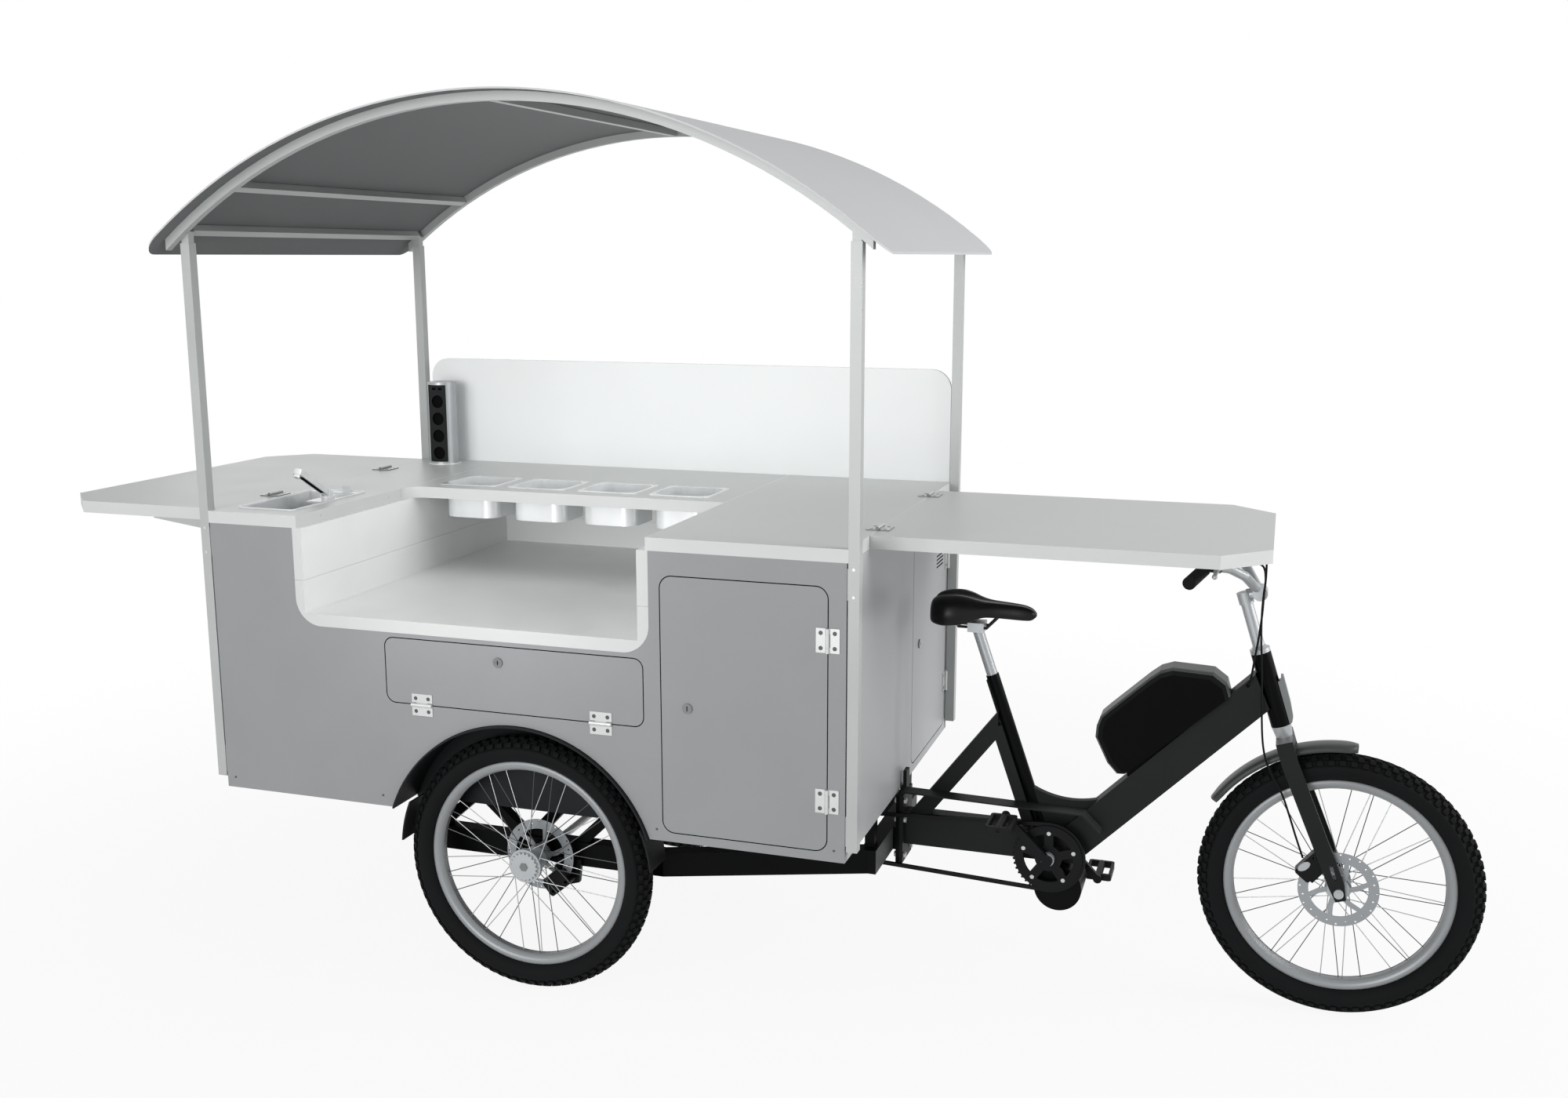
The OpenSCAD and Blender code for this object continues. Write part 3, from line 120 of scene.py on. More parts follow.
GREY = finish("cabinet grey", (149, 151, 153), 0.5, change=0.02)
# painted light: the cabinet's grey made lighter on the front panel and door, which face the light from the right
PAINTED_LIGHT_FACE = finish("front face grey with painted light", (178, 180, 182), 0.4, change=0.02)
TOP = finish("worktop laminate", (211, 214, 213), 0.38, change=0.02)
EDGE = finish("board edge", (211, 213, 212), 0.5, change=0.02)
WHITE = finish("white sheet", (248, 250, 250), 0.4, change=0.01)
WELL = finish("well board", (242, 244, 243), 0.34, change=0.02)
POST = finish("pale coated tube", (181, 184, 183), 0.38, metal=0.1, change=0.03)
ROOF = finish("roof sheet", (204, 205, 207), 0.5, change=0.02)
# painted shade: a darker grey for the roof sheet's faces that look down, which lie in shade
PAINTED_SHADE_UNDER = finish("roof underside with painted shade", (118, 120, 121), 0.6, change=0.03, spec=0.1)
BLACK = finish("black coating", (30, 32, 32), 0.5, change=0.1, bump=0.04, grain=900, spec=0.1)
DARK = finish("dark metal", (30, 31, 32), 0.45, change=0.12, spec=0.16)
PLASTIC = finish("black plastic", (20, 21, 22), 0.5, change=0.12, bump=0.05, grain=1200, spec=0.12)
DEEP = finish("deep black", (7, 8, 8), 0.4, change=0.1, bump=0.03, grain=900, spec=0.06)
TUBE = finish("glossy black tube", (6, 7, 8), 0.3, change=0.1, spec=0.06)
# painted light: a lighter black for black faces that face the light at the front
PAINTED_LIGHT_BLACK = finish("black coating with painted light", (60, 62, 62), 0.5, change=0.06, spec=0.2)
SOCKET = finish("socket face", (36, 37, 38), 0.5, change=0.1, spec=0.1)
CASE = finish("battery case", (6, 6, 7), 0.42, change=0.15, bump=0.03, grain=1200, spec=0.04)
BEVEL = finish("battery bevel", (15, 16, 16), 0.4, change=0.1, spec=0.08)
RIM_BAND = finish("battery edge", (78, 80, 80), 0.4, change=0.1, spec=0.2)
GUARD = finish("guard plastic", (27, 29, 31), 0.5, change=0.12, spec=0.14)
GREY_GUARD = finish("grey guard", (60, 63, 63), 0.36, change=0.06, spec=0.2)
# painted shade: near black for the edges inside the door gaps, a band in the sockets and the key slots
PAINTED_GAP_SHADE = finish("gap shade", (12, 12, 13), 0.8, change=0.1, spec=0.05)
TYRE = finish("tyre rubber", (19, 20, 21), 0.7, change=0.15, bump=0.06, grain=700, spec=0.08)
RUBBER = finish("soft rubber", (16, 17, 18), 0.65, change=0.15, bump=0.06, grain=1500, spec=0.1)
STEEL = finish("brushed steel", (226, 228, 229), 0.32, metal=0.3, change=0.05, bump=0.03, grain=400,
               stretch=(1, 8, 8))
SHINE = finish("polished steel", (234, 236, 237), 0.2, metal=0.3, change=0.06, bump=0.01, stretch=(3, 1, 1))
ALLOY = finish("satin alloy", (172, 175, 177), 0.36, metal=0.5, change=0.05, bump=0.01)
RIM = finish("rim alloy", (146, 149, 151), 0.36, metal=0.2, change=0.05, bump=0.01)
SPOKE = finish("pale spoke", (176, 178, 180), 0.3, metal=0.8, change=0.04)
# painted shade: the spokes on the inner side of a wheel get a darker copy of the spoke's finish
SHADED_SPOKE = finish("spoke with painted shade", (84, 87, 88), 0.35, metal=0.6, change=0.04)
DISC = finish("brake disc", (146, 150, 153), 0.38, metal=0.6, change=0.05, bump=0.03, grain=500)
HUB = finish("hub alloy", (172, 176, 178), 0.42, metal=0.5, change=0.05, bump=0.02)
BOLT = finish("pale bolt", (188, 190, 190), 0.4, metal=0.5, change=0.04)
HINGE = finish("pale hinge", (206, 208, 207), 0.36, metal=0.4, change=0.04)
# dark screw heads; also painted reflection on the pans' lower roundings
SCREW_AND_PAINTED_REFLECTION = finish("dark screw and painted reflection", (84, 86, 87), 0.45, metal=0.3, change=0.08)
RING = finish("black ring", (13, 14, 16), 0.4, change=0.12, spec=0.12)
LOCK = finish("lock chrome", (132, 134, 136), 0.2, metal=0.7, change=0.08)
# bare plates and nuts; also painted shade on the upright sides of the table hinge leaves
PLATE_AND_PAINTED_SHADE = finish("head plate and painted shade", (120, 123, 124), 0.4, metal=0.2, change=0.05)
SKIN = finish("saddle cover", (5, 5, 6), 0.32, change=0.15, bump=0.05, grain=900, spec=0.24)
TANK = finish("tank plastic", (226, 229, 230), 0.5, change=0.03)

BY_NODE = {
    GREY: "cabinet_floor side_panel_right side_panel_left rear_panel side_door side_flap",
    PAINTED_LIGHT_FACE: "front_panel front_door",
    TOP: "worktop front_table rear_table",
    WHITE: "splash_panel",
    WELL: "well_liner",
    POST: "post_sleeves roof_frame table_bracket_right table_bracket_left",
    ROOF: "roof_sheet",
    BLACK: "bike_frame fork chain_guard",
    DEEP: "chassis_frame motor",
    RING: "chain crankset rear_calipers front_caliper",
    PLASTIC: "battery pedal_right pedal_left",
    SOCKET: "power_tower",
    GUARD: "rear_mudguards",
    GREY_GUARD: "front_mudguard",
    TYRE: "rear_tyre_right rear_tyre_left front_tyre",
    RUBBER: "grips rear_brake_cable front_brake_cable",
    STEEL: "sink tower_ring tap_spout drive_axle",
    HINGE: "hinges_and_screws",
    LOCK: "side_door_lock side_flap_lock front_door_lock",
    SHINE: "pan_1 pan_2 pan_3 pan_4",
    ALLOY: "handlebar seat_post lever_right lever_left",
    HUB: "rear_wheel_right rear_wheel_left front_wheel",
    SKIN: "saddle",
    TANK: "water_tanks",
}
for material, names in BY_NODE.items():
    for name in names.split():
        mesh = NODES[name].data
        mesh.materials.clear()
        mesh.materials.append(material)


def second(node, material, pick):
    """Gives the faces of a node that pick(centre, normal) chooses another finish."""
    mesh = NODES[node].data
    mesh.materials.append(material)
    k = len(mesh.materials) - 1
    for p in mesh.polygons:
        if pick(p.center, p.normal):
            p.material_index = k


def inside(c, low, high):
    return all(low[i] <= c[i] <= high[i] for i in range(3))


# how far out (metres) a face belongs to a fitting and no longer to its board or panel
LEAF_Z = 1.1526
LEAF_SIDE_Z = 1.15235
NEAR_LEAF_Y = -0.5288
NEAR_SCREW_Y = -0.5286
FRONT_LEAF_X = at(1633.3, 0, 0).x
LOW_SCREW_Z = at(0, 0, 470).z

# boards: pale edges, and hinge leaves on top
for name in ("worktop", "front_table", "rear_table"):
    second(name, EDGE, lambda c, n: n.z < 0.9)
    second(name, HINGE, lambda c, n: c.z > LEAF_Z)
# painted shade: the roof sheet's downward faces get the darker grey
second("roof_sheet", PAINTED_SHADE_UNDER, lambda c, n: n.z < -0.2)
second("well_liner", EDGE, lambda c, n: n.y < -0.9 and c.y < -0.5)

# doors: painted shade on the edges in the gaps around them, and hinge leaves in front of them
door = at(1195.5, -529, 461.5), at(1593.5, -509, 1069.5)
flap = at(478.5, -529, 707.5), at(1155.5, -509, 872.5)
front = at(1614, 99.5, 461.5), at(1634, 497.5, 1069.5)
for name in ("side_door", "side_flap", "side_panel_right"):
    second(name, PAINTED_GAP_SHADE, lambda c, n: abs(n.y) < 0.5 and (inside(c, *door) or inside(c, *flap)))
for name in ("front_door", "front_panel"):
    second(name, PAINTED_GAP_SHADE, lambda c, n: abs(n.x) < 0.5 and inside(c, *front))
for name in ("side_door", "side_flap"):
    second(name, HINGE, lambda c, n: c.y < NEAR_LEAF_Y)
second("front_door", HINGE, lambda c, n: c.x > FRONT_LEAF_X)

# heads of the screws in the hinge leaves: four about the middle of each hinge, u across its pin and v along it,
# for the side door, the flap, the front door and the two tables
SCREW_R = 0.0048
FOUR = [(u, v) for u in (-16, 16) for v in (-17, 17)]
NEAR_HEAD_Y, FRONT_HEAD_X, TOP_HEAD_Z = -530.4, 1634.9, 1154.2
SCREWS = []
for z in (582, 948.6):
    SCREWS += [at(1591.75 + u, NEAR_HEAD_Y, z + v) for u, v in FOUR]
for x in (577.5, 1047):
    SCREWS += [at(x + v, NEAR_HEAD_Y, 709.25 + u) for u, v in FOUR]
for z in (589, 941.5):
    SCREWS += [at(FRONT_HEAD_X, 495.75 + u, z + v) for u, v in FOUR]
for x in (-3.3, 1636.3):
    SCREWS += [at(x + u, y + v, TOP_HEAD_Z) for y in (-260, 260) for u, v in FOUR]
for name in ("hinges_and_screws", "side_door", "side_flap", "front_door", "front_table", "rear_table"):
    second(name, SCREW_AND_PAINTED_REFLECTION, lambda c, n: any((c - s).length < SCREW_R for s in SCREWS))
second("hinges_and_screws", SCREW_AND_PAINTED_REFLECTION, lambda c, n: c.z < LOW_SCREW_Z and c.y < NEAR_SCREW_Y)
# painted shade: the upright sides of the table hinge leaves get a darker grey
for name in ("hinges_and_screws", "front_table", "rear_table"):
    second(name, PLATE_AND_PAINTED_SHADE, lambda c, n: c.z > LEAF_SIDE_Z and abs(n.z) < 0.3)

# wheels: middle, place of the disc along the axle, and the side that faces out
WHEELS = {
    "rear_wheel_right": (at(823.4, -472, 320), -0.421, -1),
    "rear_wheel_left": (at(823.4, 472, 320), 0.421, 1),
    "front_wheel": (at(2688.46, 0, 320.03), -0.038, -1),
}
HUB_R, RIM_R = 0.0425, 0.2352
DISC_R = 0.026, 0.095
DISC_HALF, DISC_CLEAR = 0.0013, 0.002
NUT_R, NUT_OUT = 0.0115, 0.0372
for name, (mid, disc_y, out) in WHEELS.items():
    def radius(c):
        return math.hypot(c.x - mid.x, c.z - mid.z)

    def spoke(c):
        return HUB_R < radius(c) < RIM_R and abs(c.y - disc_y) > DISC_CLEAR

    second(name, DISC, lambda c, n: abs(c.y - disc_y) < DISC_HALF and DISC_R[0] < radius(c) < DISC_R[1])
    # painted shade: the spokes on the outer side are pale, those on the inner side darker
    second(name, SPOKE, lambda c, n: spoke(c) and (c.y - mid.y) * out > 0)
    second(name, SHADED_SPOKE, lambda c, n: spoke(c) and (c.y - mid.y) * out <= 0)
    second(name, RIM, lambda c, n: radius(c) > RIM_R)
    if name != "front_wheel":
        second(name, PLATE_AND_PAINTED_SHADE, lambda c, n: (c.y - mid.y) * out > NUT_OUT and radius(c) < NUT_R)

# crankset: pale bolts in a circle and a pale middle
crank = ahead(387, 0, 325)
BOLT_CIRCLE, BOLT_R = 0.064, 0.0055


def from_crank(c):
    return math.hypot(c.x - crank.x, c.z - crank.z)


second("crankset", BOLT, lambda c, n: -0.0765 < c.y < -0.0735 and abs(from_crank(c) - BOLT_CIRCLE) < BOLT_R)
second("crankset", ALLOY, lambda c, n: from_crank(c) < 0.0165 and -0.0855 < c.y < -0.072)

# socket tower: dark sockets, pale outside and top
tower = at(90, 441, 0)
TOWER_R, TOWER_TOP = 0.0405, 1.39


def tower_shell(c, n):
    return math.hypot(c.x - tower.x, c.y - tower.y) > TOWER_R or (n.z > 0.5 and c.z > TOWER_TOP)


# painted shade: near black on the faces 23.5 to 30 mm from the tower's middle towards the near side, in the sockets
second("power_tower", PAINTED_GAP_SHADE, lambda c, n: -0.0299 < c.y - tower.y < -0.0235)
second("power_tower", ALLOY, tower_shell)
second("fork", ALLOY, lambda c, n: abs(c.y) > 0.0627)


STEER_FOOT, STEER_TILT = ahead(910.5, 0, 683), math.radians(18)
SEAT_TOP, SEAT_TILT = ahead(225.5, 0, 757), math.atan2(125, 357)
HEAD_TUBE_R, SEAT_TUBE_R = 0.0233, 0.0163


def in_steering(c):
    """A point along the steering axis: forward of it, across and up."""
    d = c - STEER_FOOT
    t = STEER_TILT
    return Vector((d.x * math.cos(t) + d.z * math.sin(t), d.y, d.z * math.cos(t) - d.x * math.sin(t)))


def head_plate(c):
    """The bare plate on the front of the head tube."""
    q = in_steering(c)
    return q.x > 0.0235 and abs(q.y) < 0.0125 and 0.012 < q.z < 0.13


def round_tube(c):
    """The head tube and the seat tube."""
    q = in_steering(c)
    head = math.hypot(q.x, q.y) < HEAD_TUBE_R and 0.0115 < q.z < 0.1905
    t = SEAT_TILT
    d = c - SEAT_TOP
    seat = math.hypot(d.x * math.cos(t) + d.z * math.sin(t), d.y) < SEAT_TUBE_R and d.z > -0.36
    return head or seat


second("bike_frame", TUBE, lambda c, n: round_tube(c))
second("bike_frame", PLATE_AND_PAINTED_SHADE, lambda c, n: head_plate(c))
# painted light: the chassis frame's forward faces and the chain guard's faces towards the front get the lighter black
second("chassis_frame", PAINTED_LIGHT_BLACK, lambda c, n: n.x > 0.9 and c.x > ahead(-12, 0, 0).x)
second("fork", PLATE_AND_PAINTED_SHADE, lambda c, n: in_steering(c).z > -0.0165)
second("chain_guard", PAINTED_LIGHT_BLACK, lambda c, n: n.x > 0.3)

# pans: painted reflection, a darker finish on the lower roundings where a dark reflection would show
PAN_ROUND = 0.012
for name in ("pan_1", "pan_2", "pan_3", "pan_4"):
    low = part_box(name)[0]
    second(name, SCREW_AND_PAINTED_REFLECTION, lambda c, n: n.z < -0.3 and c.z < low.z + PAN_ROUND)


def perch(c):
    """The blocks on the bar that carry the brake levers."""
    turn = math.atan2(-140, -32)
    p = ahead(751.98, -140.6, 1083.46)
    for side in (-1, 1):
        dx, dy = c.x - p.x, -side * c.y - p.y
        along = dx * math.cos(turn) + dy * math.sin(turn)
        out = -dx * math.sin(turn) + dy * math.cos(turn)
        if abs(along) < 0.0085 and -0.042 < out < 0.008 and abs(c.z - p.z) < 0.0105:
            return True
    return False


second("handlebar", DARK, lambda c, n: perch(c))


def rail(c):
    """The two rails under the saddle, outside their clamp."""
    off_clamp = c.x < ahead(164.5, 0, 0).x or c.x > ahead(205.5, 0, 0).x or c.z > 0.8885
    return off_clamp and abs(abs(c.y) - 0.017) < 0.0042 and c.z > 0.867


second("seat_post", DARK, lambda c, n: rail(c))


def tap_slot(c):
    """The long recess on the underside of the tap."""
    d = c - at(154, -262, 1166)
    t = math.radians(31)
    y, z = d.y * math.cos(t) - d.z * math.sin(t), d.y * math.sin(t) + d.z * math.cos(t)
    return abs(d.x) < 0.0071 and -0.1181 < y < -0.0139 and -0.0069 < z < -0.0039


second("tap_spout", PLASTIC, lambda c, n: tap_slot(c))


def mesh_piece(name, points, faces, materials, smooth=True, which=None):
    """A piece of the scene: which gives each face the place of its finish in materials."""
    mesh = bpy.data.meshes.new(name)
    mesh.from_pydata([tuple(p) for p in points], [], faces)
    for m in materials:
        mesh.materials.append(m)
    for i, p in enumerate(mesh.polygons):
        p.use_smooth = smooth
        if which:
            p.material_index = which[i]
    o = bpy.data.objects.new(name, mesh)
    bpy.context.scene.collection.objects.link(o)
    return o


def loft(rings, m):
    """The faces of a closed skin over that many rings of m points, with a cap at each end."""
    faces = []
    for i in range(rings - 1):
        for k in range(m):
            a, b = i * m + k, i * m + (k + 1) % m
            faces.append((a, b, b + m, a + m))
    faces.append(tuple(range(m - 1, -1, -1)))
    faces.append(tuple((rings - 1) * m + k for k in range(m)))
    return faces


AROUND = 96


def tyre(name, mid, body, node):
    """A round carcass with six rows of staggered rubber blocks that reach the size of the solid tyre."""
    middle, block_top, carcass, lining = 0.287, 0.033, 0.0268, 0.0265
    lip, tread_edge, ramp = 152, 66, 12
    points, faces = [], []

    def put(a, phi, r):
        rr = middle + r * math.cos(phi)
        points.append(mid + Vector((rr * math.cos(a), r * math.sin(phi), rr * math.sin(a))))

    section = []
    for deg in range(-lip, lip + 1, 8):
        blend = min(1.0, max(0.0, (abs(deg) - tread_edge) / ramp))
        section.append((math.radians(deg), carcass + (block_top - carcass) * blend))
    section += [(math.radians(deg), lining) for deg in range(lip, -lip - 1, -16)]
    m = len(section)
    for i in range(AROUND):
        for phi, r in section:
            put(2 * math.pi * i / AROUND, phi, r)
    for i in range(AROUND):
        for k in range(m):
            a, b = i * m + k, i * m + (k + 1) % m
            c, d = (i + 1) % AROUND * m + k, (i + 1) % AROUND * m + (k + 1) % m
            faces.append((a, c, d, b))
    smooth_count = len(faces)

    # blocks: rows from the middle outwards, in degrees across the section, with their shift around the wheel
    count, share, sunk, taper = 76, 0.6, 0.001, 0.07
    rows = [(1.5, 21, 0.0), (26, 45, 0.5), (50, 70, 0.05)]
    for k in range(count):
        for side in (-1, 1):
            for p0, p1, shift in rows:
                a0 = 2 * math.pi * (k + shift) / count
                a1 = a0 + 2 * math.pi / count * share
                base = len(points)
                for r, slim in ((carcass - sunk, 0.0), (block_top, taper)):
                    for a in (a0 + slim * (a1 - a0), a1 - slim * (a1 - a0)):
                        for phi in (p0 + 6 * slim, (p0 + p1) / 2, p1 - 6 * slim):
                            put(a, side * math.radians(phi), r)
                low, high = base, base + 6
                quads = [(low + 3, low, high, high + 3), (low + 2, low + 5, high + 5, high + 2)]
                for i in (0, 1):
                    quads.append((high + i, high + i + 1, high + 4 + i, high + 3 + i))
                    quads.append((low + i, low + i + 1, high + i + 1, high + i))
                    quads.append((low + 4 + i, low + 3 + i, high + 3 + i, high + 4 + i))
                    quads.append((low + i + 1, low + i, low + 3 + i, low + 4 + i))
                faces.extend(q if side < 0 else q[::-1] for q in quads)
    o = mesh_piece(name, points, faces, [TYRE])
    for p in list(o.data.polygons)[smooth_count:]:
        p.use_smooth = False
    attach(o, body)
    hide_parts(node)


def rim_face(name, mid, body):
    """The rounded faces of a rim, one on each side."""
    profile = [(0.2583, 0.0171), (0.2570, 0.0186), (0.2540, 0.0200), (0.2500, 0.0202),
               (0.2455, 0.0190), (0.2410, 0.0160), (0.2375, 0.0118), (0.2352, 0.0070)]
    points, faces = [], []
    m = len(profile)
    for side in (-1, 1):
        base = len(points)
        for i in range(AROUND):
            a = 2 * math.pi * i / AROUND
            points += [mid + Vector((r * math.cos(a), side * y, r * math.sin(a))) for r, y in profile]
        for i in range(AROUND):
            for k in range(m - 1):
                a, b = base + i * m + k, base + (i + 1) % AROUND * m + k
                faces.append((a, a + 1, b + 1, b)[::side])
    o = mesh_piece(name, points, faces, [RIM])
    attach(o, body)


MID = {name: place[0] for name, place in WHEELS.items()}
rim_face("rear_rim_right", MID["rear_wheel_right"], "rear_wheel_right")
rim_face("rear_rim_left", MID["rear_wheel_left"], "rear_wheel_left")
rim_face("front_rim", MID["front_wheel"], "front_wheel")


def front_guard():
    """The front mudguard with its sides turned down over the tyre."""
    mid = MID["front_wheel"]
    start, sweep = 86, 62.6  # degrees about the axle
    foot, rise = 329.6, 4  # millimetres from the axle to the lower edge, and what its rear end adds
    sheet, inner = 1.6, 0.96  # thickness, and width of the inside as a share of the outside
    n, rounded, tip = 40, 3, 0.55  # steps along it, steps in which its ends are rounded, and their least width
    outer = [(-31, 0), (-30.6, 5), (-28.5, 9.5), (-24, 12.6), (-12, 14.2), (0, 14.6)]
    outer += [(-y, h) for y, h in reversed(outer[:-1])]
    ring = outer + [(y * inner, h - sheet) for y, h in reversed(outer)]
    points = []
    for i in range(n + 1):
        t = i / n
        a = math.radians(start + sweep * t)
        end = min(1.0, t * n / rounded, (1 - t) * n / rounded)
        slim = tip + (1 - tip) * math.sin(end * math.pi / 2)
        for y, h in ring:
            r = (foot + rise * t + h) / 1000
            points.append(mid + Vector((r * math.cos(a), y * slim / 1000, r * math.sin(a))))
    faces = loft(n + 1, len(ring))
    o = mesh_piece("front_guard", points, faces, [GREY_GUARD])
    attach(o, "steering")
    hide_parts("front_mudguard")


front_guard()

tyre("rear_tyre_right_tread", MID["rear_wheel_right"], "rear_wheel_right", "rear_tyre_right")
tyre("rear_tyre_left_tread", MID["rear_wheel_left"], "rear_wheel_left", "rear_tyre_left")
tyre("front_tyre_tread", MID["front_wheel"], "front_wheel", "front_tyre")


def smooth_line(p, n):
    """A smooth line through the points, with n steps from each to the next."""
    out = []
    for i in range(len(p) - 1):
        a, b, c, d = p[max(i - 1, 0)], p[i], p[i + 1], p[min(i + 2, len(p) - 1)]
        for k in range(n):
            t = k / n
            square, cube = 2 * a - 5 * b + 4 * c - d, 3 * b - a - 3 * c + d
            out.append(0.5 * (2 * b + t * (c - a) + t * t * square + t ** 3 * cube))
    return out + [p[-1]]


# saddle: sections from rear to nose (x, half width, top, lower edge, dip in the middle as part of the height),
# and half of a section outwards and back underneath (share of the half width, of the dip and of the height)
SADDLE = [(73, 30, 928.5, 896.5, 0.06), (78, 50, 941.5, 891.5, 0.12), (89, 66, 950.5, 888.5, 0.15),
          (112, 78, 956.5, 886.5, 0.15), (140, 77, 958.5, 888.5, 0.14), (165, 68, 954.5, 892.5, 0.12),
          (187, 54, 947.5, 900.5, 0.1), (205, 43, 943, 905.5, 0.08), (227, 34, 940.5, 905.5, 0.06),
          (267, 27, 938, 903.5, 0.05), (300, 23, 934.5, 902, 0.04), (318, 18, 928.5, 902.5, 0.04),
          (327, 10, 921.5, 907.5, 0.05), (330, 5, 917.5, 910.5, 0.08)]
HALF = [(0, -1, 0), (0.18, -0.7, 0), (0.36, -0.15, 0), (0.5, 0, -0.01), (0.7, 0, -0.07), (0.86, 0, -0.2),
        (0.97, 0, -0.43), (1, 0, -0.68), (0.96, 0, -0.9), (0.88, 0, -0.99), (0.8, 0, -0.95), (0.72, 0, -0.66),
        (0.4, 0, -0.61), (0, 0, -0.6)]


def saddle():
    half = smooth_line([np.array(h) for h in HALF], 3)
    ring = half + [h * np.array((-1, 1, 1)) for h in reversed(half[1:-1])]
    cuts = smooth_line([np.array(c) for c in SADDLE], 3)
    points = []
    for x, w, top, low, dip in cuts:
        points += [ahead(x, w * q[0], top + (q[1] * dip + q[2]) * (top - low)) for q in ring]
    faces = loft(len(cuts), len(ring))
    o = mesh_piece("saddle_cover", points, faces, [SKIN])
    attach(o, "seat")
    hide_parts("saddle")


saddle()

# battery: its outline, drawn in towards each side in three bevels (share of the outline, and where across),
# and the outline of the rail under it, down to the tube
BATTERY = [(493, 630), (495, 660), (503, 686), (521, 706), (612, 800), (636, 821), (664, 832), (742, 828), (758, 827),
           (788, 803), (797, 770.5), (563, 536.5), (546, 536), (523, 563)]
STEPS = [(0.84, -44), (0.895, -39), (0.92, -33), (0.925, -28), (0.925, 28), (0.92, 33), (0.895, 39), (0.84, 44)]
STEP_FINISH = (1, 2, 2, 2, 2, 2, 1)
RAIL = [(562, 536), (765, 739), (765, 745), (562, 560)]
RAIL_HALF = 20


def battery():
    from_x, to_x, mid_z, longer = 680, 673, 653.5, 1.092
    points = [ahead(to_x + longer * k * (x - from_x), y, mid_z + k * (z - mid_z)) for k, y in STEPS for x, z in BATTERY]
    faces = loft(len(STEPS), len(BATTERY))
    which = [f for f in STEP_FINISH for _ in BATTERY] + [0, 0]
    n = len(points)
    points += [ahead(x, y, z) for y in (-RAIL_HALF, RAIL_HALF) for x, z in RAIL]
    faces += [(n, n + 1, n + 2, n + 3), (n + 7, n + 6, n + 5, n + 4)]
    faces += [(n + k, n + 4 + k, n + 4 + (k + 1) % 4, n + (k + 1) % 4) for k in range(4)]
    which += [0] * 6
    o = mesh_piece("battery_case", points, faces, [CASE, BEVEL, RIM_BAND], smooth=False, which=which)
    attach(o, "battery")
    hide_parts("battery")


battery()


def key_slot(name, out):
    """The key slot on the round face of a lock, which looks along the axis out: a near black box of painted shade."""
    half_width, half_height, sunk, proud = 0.0011, 0.0055, 0.0004, 0.0003
    points = [p.co for p in NODES[name].data.vertices]
    top = max(p.dot(out) for p in points)
    rim = [p for p in points if p.dot(out) > top - 0.0003]
    mid = sum(rim, Vector()) / len(rim)
    up = Vector((0, 0, 1))
    across = up.cross(out)
    signs = (-1, -1), (1, -1), (1, 1), (-1, 1)
    corners = [mid + a * half_width * across + b * half_height * up for a, b in signs]
    points = [q - sunk * out for q in corners] + [q + proud * out for q in corners]
    faces = [(0, 1, 2, 3), (4, 5, 6, 7)] + [(k, (k + 1) % 4, (k + 1) % 4 + 4, k + 4) for k in range(4)]
    o = mesh_piece(name + "_slot", points, faces, [PAINTED_GAP_SHADE], smooth=False)
    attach(o, name)


key_slot("side_door_lock", Vector((0, -1, 0)))
key_slot("side_flap_lock", Vector((0, -1, 0)))
key_slot("front_door_lock", Vector((1, 0, 0)))


def caliper_plate():
    """The pale oval cover on the near side of the front caliper."""
    low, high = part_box("front_caliper")
    mid = Vector((low.x + 0.019, low.y, (low.z + high.z) / 2 + 0.002))
    tilt, length, height, n = 0.7, 0.016, 0.009, 28
    along = Vector((math.cos(tilt), 0, math.sin(tilt)))
    across = Vector((-math.sin(tilt), 0, math.cos(tilt)))
    points = []
    for share, y in ((1.0, 0.0), (1.0, -0.0012), (0.9, -0.0022)):
        for k in range(n):
            a = 2 * math.pi * k / n
            flat = length * math.cos(a) * along + height * math.sin(a) * across
            points.append(mid + share * flat + Vector((0, y, 0)))
    faces = loft(3, n)
    o = mesh_piece("front_caliper_plate", points, faces, [ALLOY], smooth=False)
    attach(o, "steering")


caliper_plate()

# rear brake cable, which runs from the bar to the frame: a sleeve along a smooth line stands for the rigid one in the
# source
REAR_CABLE = [(741.2, 129.6, 1083.5), (752, 122, 1084.5), (790, 108, 1089), (830, 75, 1092), (850, 25, 1090),
              (853, -12, 1080), (853.5, -34, 1048), (851.5, -38, 1008), (850, -38, 960), (845.5, -38, 905),
              (840, -38, 860), (834.5, -36, 813), (829, -30, 793), (828, -20, 785.5)]
CABLE_R = 0.0025


def tube(name, line, r, material, sides=12):
    """A round tube along a line, which nowhere runs along aside."""
    aside = Vector((0.9, 0.4, 0.15))
    points = []
    n = len(line)
    for i, q in enumerate(line):
        d = (line[min(i + 1, n - 1)] - line[max(i - 1, 0)]).normalized()
        s = d.cross(aside).normalized()
        u = d.cross(s)
        for k in range(sides):
            a = 2 * math.pi * k / sides
            points.append(q + r * (math.cos(a) * s + math.sin(a) * u))
    return mesh_piece(name, points, loft(n, sides), [material])


cable = tube("rear_cable_sleeve", smooth_line([ahead(*p) for p in REAR_CABLE], 8), CABLE_R, RUBBER)
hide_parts("rear_brake_cable")
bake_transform(cable)


